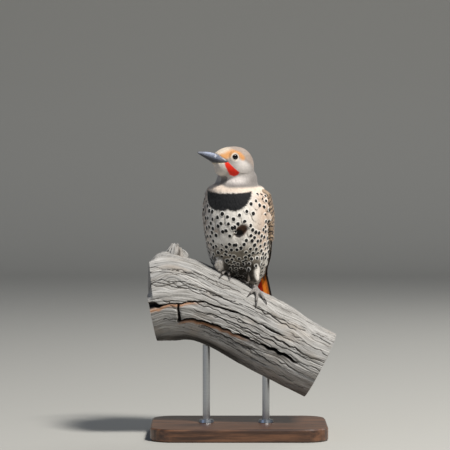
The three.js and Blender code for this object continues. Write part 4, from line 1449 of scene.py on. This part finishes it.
def limb(material):
    """A weathered dead limb: long ridges of grain, deep drying cracks, and rough sawn ends."""
    bm, ball, row = ball_of_rows(LIMB_SIDES, LIMB_ROWS)
    degrees = np.degrees(np.arctan2(ball[:, 1], ball[:, 0]))
    share = np.clip((row - END_ROWS) / (LIMB_ROWS - 1 - 2 * END_ROWS), 0, 1)
    inward = np.clip(np.minimum(row, LIMB_ROWS - 1 - row) / END_ROWS, 0, 1)
    radius = solid_radius(share, degrees)
    centre, along, up, front, length = limb_line(share)

    # The grain runs along the limb, twisted a little, and bends round the knots.
    turns = degrees / 360 + 0.012 * lattice(0 * share, share, 1, 9, 3) + 0.02 * share
    knots = np.zeros(len(share))
    for knot_share, knot_degrees, size in KNOTS:
        run, rise = (share - knot_share) * length, np.radians(degrees - knot_degrees) * radius
        bend = rise * size**2 / (run**2 + rise**2 + 0.6 * size**2)
        turns = turns - bend / (2 * math.pi * radius)
        knots = knots + np.exp(-(run**2 + rise**2) / (0.45 * size**2))
    # Ridges and finer fibres, rough spots, grooves, wrinkles below the lower crack, and broad swells.
    ridge = lattice(turns, share, 70, 5, 1)
    fine = lattice(turns, share, 190, 12, 2)
    rough = lattice(turns, share, 150, 90, 4)
    sunk = 0.5 - 0.5 * ridge + 0.45 * (0.5 - 0.5 * fine) + 0.22 * np.maximum(0, rough)
    sunk += 0.9 * np.maximum(0, 0.12 - np.abs(lattice(turns, share, 36, 4, 6))) / 0.12
    wrinkled = bell(degrees, 124, 11) * blend(0.1, 0.2, share) * blend(0.85, 0.6, share)
    sunk += wrinkled * 0.35 * (1 + np.sin(2 * math.pi * share * 125 + 3 * lattice(turns, share, 20, 30, 8)))
    sunk += 1.0 * (1 + lattice(turns, share, 7, 6, 9)) + 1.5 * knots
    # The wood is smoother and fuller under the feet.
    cracks, black, warm = crack_depth(share, degrees, radius)
    at_feet = bell(degrees, 0, 38) * blend(0.24, 0.3, share) * blend(0.6, 0.54, share)
    sunk = (sunk - 1.7) * (1 - 0.75 * at_feet)
    sunk = sunk + cracks * (1 - 0.8 * at_feet)
    whole = (radius - sunk) * (1 - 0.02 * (inward < 1))

    # The ends are cut across, bulge a little and have checks.
    turn = np.radians(degrees)[:, None]
    out = np.cos(turn) * up + np.sin(turn) * front
    ending = np.where(row < END_ROWS, -1, 1) * (inward < 1)
    checks = lattice(turns, 0 * share, 60, 2, 12) + 0.5 * lattice(turns, inward * 0.8, 140, 6, 13)
    bulge = ending * (0.5 * checks + 0.4 * lattice(turns, inward, 12, 5, 14) - 0.9 * (inward > 0.9))
    place = centre + out * (whole * inward**0.9)[:, None] + along * bulge[:, None]
    for vert, point in zip(bm.verts, place * MM):
        vert.co = point
    face_outward(bm)
    mesh = mesh_from(bm, "weathered_limb", 60)
    lane = turns * 2 * math.pi
    grain = np.stack([share * length, np.cos(lane) * MEAN_RADIUS, np.sin(lane) * MEAN_RADIUS], 1)
    carry(mesh, "grain", "FLOAT_VECTOR", grain)
    # Painted shade: dark in the cracks and in the grooves deeper than the mean.
    hollow = np.maximum(1.4 * black, sunk - 1.2)
    carry(mesh, "wood", "FLOAT_VECTOR", np.stack([hollow, inward < 0.999, inward], 1))
    carry(mesh, "warm", "FLOAT", warm)
    # Painted shade along the limb's underside, fainter towards the far end.
    under = blend(132, 158, degrees) * blend(228, 205, degrees) * (1 - 0.5 * blend(0.55, 0.75, share))
    carry(mesh, "under", "FLOAT", under)
    return new_piece("weathered_limb", mesh, material, "perch_wood", "perch")


def wood_material():
    """Bare pine weathered to silver grey: pale rubbed fibres and dark lines of grain, with painted shade in
    the grooves and along the underside, near black in the cracks.

    The finest fibres are drawn about half a millimetre wide, coarser than life, so that they show.
    """
    material, add, shader = new_material("weathered_pine")
    grain = add("Attribute", attribute_name="grain")["Vector"]
    sunk, end, inward = add("SeparateXYZ", {0: add("Attribute", attribute_name="wood")["Vector"]})
    warm, under = (add("Attribute", attribute_name=name)["Fac"] for name in ("warm", "under"))
    fibre = mottle(add, grain, (0.035, 0.9, 0.9), 5, 0.6)
    thread = mottle(add, grain, (0.06, 2.2, 2.2), 3, 0.6)
    broad = mottle(add, grain, (0.012, 0.16, 0.16), 3, 0.55)
    patch = mottle(add, grain, (0.03, 0.05, 0.05))

    # Dark lines follow the edges of the year rings.
    rings = mottle(add, grain, (0.012, 0.32, 0.32), 2, 0.4)
    rings = add("Math", {0: rings, 1: 5.0}, operation="MULTIPLY")[0]
    rings = add("Math", {0: rings, 1: 0.5}, operation="PINGPONG")[0]
    shown = add("MapRange", {"Value": broad, "From Min": 0.4, "From Max": 0.6}, **SOFT)[0]
    line = add("MapRange", {"Value": rings, "From Min": 0.07, "From Max": 0.0, "To Max": shown}, **SOFT)[0]
    # Painted shade along the underside.
    underside_shade = add("Math", {0: under, 1: 0.92}, operation="MULTIPLY")[0]
    colour = painted(
        add, rgba("#706c65"),
        (fibre, (0.25, 0.75), 1.0, "#c8c5c0"),
        (thread, (0.52, 0.66), 0.65, "#625f5a"),
        (broad, (0.42, 0.68), 1.0, "#9b9995"),
        (patch, (0.5, 0.75), 0.35, "#a39382"),
        (line, None, 0.85, "#3c3935"),
        # Painted shade in the grooves.
        (sunk, (0.5, 1.6), 1.0, "#5d5852"),
        (warm, None, 0.75, "#b0784a"),
        # Painted shade along the underside.
        (broad, (0.95, 0.45), underside_shade, "#231f1b"),
        # Painted shade, near black, in the cracks.
        (sunk, (1.8, 4.0), 1.0, "#1a1715"),
    )

    # The sawn ends have rings 2.6 mm apart and dark checks that run out from the middle.
    wavy = add("Math", {0: patch, 1: 9.0}, operation="MULTIPLY")[0]
    ring = add("Math", {0: inward, 1: 96.0, 2: wavy}, operation="MULTIPLY_ADD")[0]
    ring = add("Math", {0: ring}, operation="SINE")[0]
    check = mottle(add, grain, (0, 0.35, 0.35), 3)
    bands, checks = (ring, (-0.4, 0.9), 1.0, "#7f7465"), (check, (0.62, 0.68), 1.0, "#3a332c")
    sawn = painted(add, rgba("#a99c8a"), bands, checks)
    colour = add("Mix", {0: end, 6: colour, 7: sawn}, **COLOURS)[2]

    height = add("Math", {0: thread, 1: -0.6, 2: fibre}, operation="MULTIPLY_ADD")[0]
    height = add("Math", {0: line, 1: -0.7, 2: height}, operation="MULTIPLY_ADD")[0]
    dress(add, shader, {"Base Color": colour, "Roughness": 0.86, "Specular IOR Level": 0.2}, height, 0.5)
    return material


def spur(material):
    """The stump of a broken twig on the limb's top: upright fibres that end in splinters."""
    rows, sides = 40, 96
    bm, ball, row = ball_of_rows(sides, rows)
    row = rows - 1 - row
    turns = np.arctan2(ball[:, 1], ball[:, 0]) / (2 * math.pi)
    t = np.clip(row / (rows - 9), 0, 1)
    inward = np.clip((rows - 1 - row) / 8, 0, 1)
    centre, along, up, front, _ = limb_line(np.array(0.12))
    fibres = lattice(turns, 0 * t, 26, 2, 21)
    thin = lattice(turns, t, 60, 6, 22)
    chips = np.random.default_rng(23).uniform(-1, 1, (2, 19))[:, np.floor(turns % 1 * 19).astype(int)]
    radius = np.interp(t, [0, 0.5, 0.72, 0.88, 1], [14.5, 13.4, 12.6, 11, 8.5]) + 0.5 * fibres + 0.7 * thin
    lumps = lattice(turns, t, 9, 5, 25)
    radius = radius + 1.6 * lumps + 1.3 * chips[0] * blend(0.3, 0.8, t)
    tall = 55.5 - 4.5 * (np.cos(2 * math.pi * turns) + 0.2) ** 2 + 2.4 * chips[1] + 1.2 * fibres
    rise = 30 + (tall - 30) * t
    rise = rise * inward + 54 * (1 - inward) + 3.5 * inward * (1 - inward) * lattice(turns, inward, 14, 4, 24)
    turn = (turns * 2 * math.pi)[:, None]
    out = np.cos(turn) * along + np.sin(turn) * front * 0.85
    lean = along * (0.5 * t * t)[:, None]
    place = centre + up * rise[:, None] + out * (radius * inward)[:, None] + lean
    for vert, point in zip(bm.verts, place * MM):
        vert.co = point
    face_outward(bm)
    mesh = mesh_from(bm, "broken_spur", 60)
    grain = np.stack([rise * 1.4, np.cos(turn[:, 0]) * 14, np.sin(turn[:, 0]) * 14], 1)
    carry(mesh, "grain", "FLOAT_VECTOR", grain)
    # Painted shade in the stump's dents and between its fibres.
    hollow = -0.8 - 1.4 * fibres - 3 * np.minimum(0, lumps)
    carry(mesh, "wood", "FLOAT_VECTOR", np.stack([hollow, 0 * t, inward], 1))
    return new_piece("broken_spur", mesh, material, "perch_wood")


def walnut_material():
    """Satin-oiled walnut: brown rings drawn out along the board, with fine dark pores."""
    material, add, shader = new_material("walnut_oiled")
    place = place_in_mm(add)
    rings = mottle(add, place, (0.014, 0.16, 0.16), 5, 0.6)
    pore = mottle(add, place, (0.06, 2.2, 2.2), 2)
    ring_layer, pore_layer = (rings, (0.35, 0.65), 1.0, "#6e4a32"), (pore, (0.6, 0.7), 0.6, "#22150d")
    colour = painted(add, rgba("#3a2519"), ring_layer, pore_layer)
    inputs = {"Base Color": colour, "Roughness": 0.38, "Coat Weight": 0.2, "Coat Roughness": 0.2}
    dress(add, shader, inputs, pore, -0.08)
    return material


def steel_material():
    """Brushed stainless steel: bright grey, with fine marks round the rods, coarser than life."""
    material, add, shader = new_material("stainless_brushed")
    brush = mottle(add, place_in_mm(add), (0.09, 0.09, 4.0), 3)
    colour = painted(add, rgba("#a9abad"), (brush, None, 1.0, "#d0d2d3"))
    dress(add, shader, {"Base Color": colour, "Roughness": 0.3, "Metallic": 1.0}, brush, 0.03)
    return material


def stand():
    """The base and the two rods keep their solids, and get their finishes."""
    steel = steel_material()
    finishes = {"stand_base": walnut_material(), "stand_rod_1": steel, "stand_rod_2": steel}
    for name, material in finishes.items():
        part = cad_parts[name]
        part.material_slots[0].material = material


wood = wood_material()
limb(wood)
spur(wood)
stand()


# ------------------------------------------------------------------ floor, light and camera
SWEEP_WIDE = 6
FLOOR_FRONT, FLOOR_BACK = -4, 3.2  # metres along Y
SWEEP_BEND = 0.9  # length of the bend up into the wall
SWEEP_LONG = 10  # floor, bend and wall together
AIM = Vector((-0.005, 0, 0.21))  # the lamps point here
LAMPS = {
    "key": ((1.12, -1.33, 2.45), 0.5, 126, "#fffdfa"),
    "fill": ((-1.7, -1.5, 0.75), 1.4, 2.8, "#b8d0ff"),
    "rim": ((0.9, 1.5, 1.5), 0.9, 10, "#ffffff"),
}  # place and size in metres, power in watts, and colour
CAMERA_AWAY = 2.7
CAMERA_RISE = 2  # degrees above the level
CAMERA_AIM = Vector((-0.0151, 0, 0.2279))


def studio():
    """A wide pale sweep under and behind the model, a key light from the upper right, a cool fill, a rim."""
    bm = bmesh.new()
    bmesh.ops.create_grid(bm, x_segments=1, y_segments=60, size=1)
    radius = SWEEP_BEND * 2 / math.pi
    for vert in bm.verts:
        run = (vert.co.y + 1) * SWEEP_LONG / 2 + FLOOR_FRONT
        bend = max(0.0, run - FLOOR_BACK)
        turn = min(bend / SWEEP_BEND, 1) * math.pi / 2
        back = min(run, FLOOR_BACK) + radius * math.sin(turn)
        rise = radius * (1 - math.cos(turn)) + max(0.0, bend - SWEEP_BEND)
        vert.co = (vert.co.x * SWEEP_WIDE, back, rise)
    sweep = bpy.data.objects.new("sweep", mesh_from(bm, "sweep"))
    bpy.context.scene.collection.objects.link(sweep)
    material, add, shader = new_material("paper_sweep")
    dress(add, shader, {"Base Color": rgba("#a9a7a0"), "Roughness": 0.9})
    sweep.data.materials.append(material)

    world = bpy.data.worlds.new("studio")
    bpy.context.scene.world = world
    world.use_nodes = True
    backdrop = next(n for n in world.node_tree.nodes if n.type == "BACKGROUND")
    plug_in(backdrop, {"Color": rgba("#c9d8f0"), "Strength": 0.2})

    for name, (place, size, power, code) in LAMPS.items():
        data = bpy.data.lights.new(name, "AREA")
        data.size = size
        data.energy = power
        data.color = linear(code)
        lamp = bpy.data.objects.new(name, data)
        lamp.location = place
        lamp.rotation_euler = (AIM - Vector(place)).to_track_quat("-Z", "Y").to_euler()
        bpy.context.scene.collection.objects.link(lamp)


def camera():
    """A long lens, a little above the level, aimed so that the bird sits high and right of the middle."""
    rise = math.radians(CAMERA_RISE)
    back = Vector((0, -math.cos(rise), math.sin(rise)))
    data = bpy.data.cameras.new("camera")
    data.lens = 200
    data.sensor_width = 36
    data.clip_end = 50
    made = bpy.data.objects.new("camera", data)
    made.location = CAMERA_AIM + back * CAMERA_AWAY
    made.rotation_euler = (-back).to_track_quat("-Z", "Y").to_euler()
    bpy.context.scene.collection.objects.link(made)
    bpy.context.scene.camera = made
    bpy.context.scene.view_settings.view_transform = "Standard"


studio()
camera()
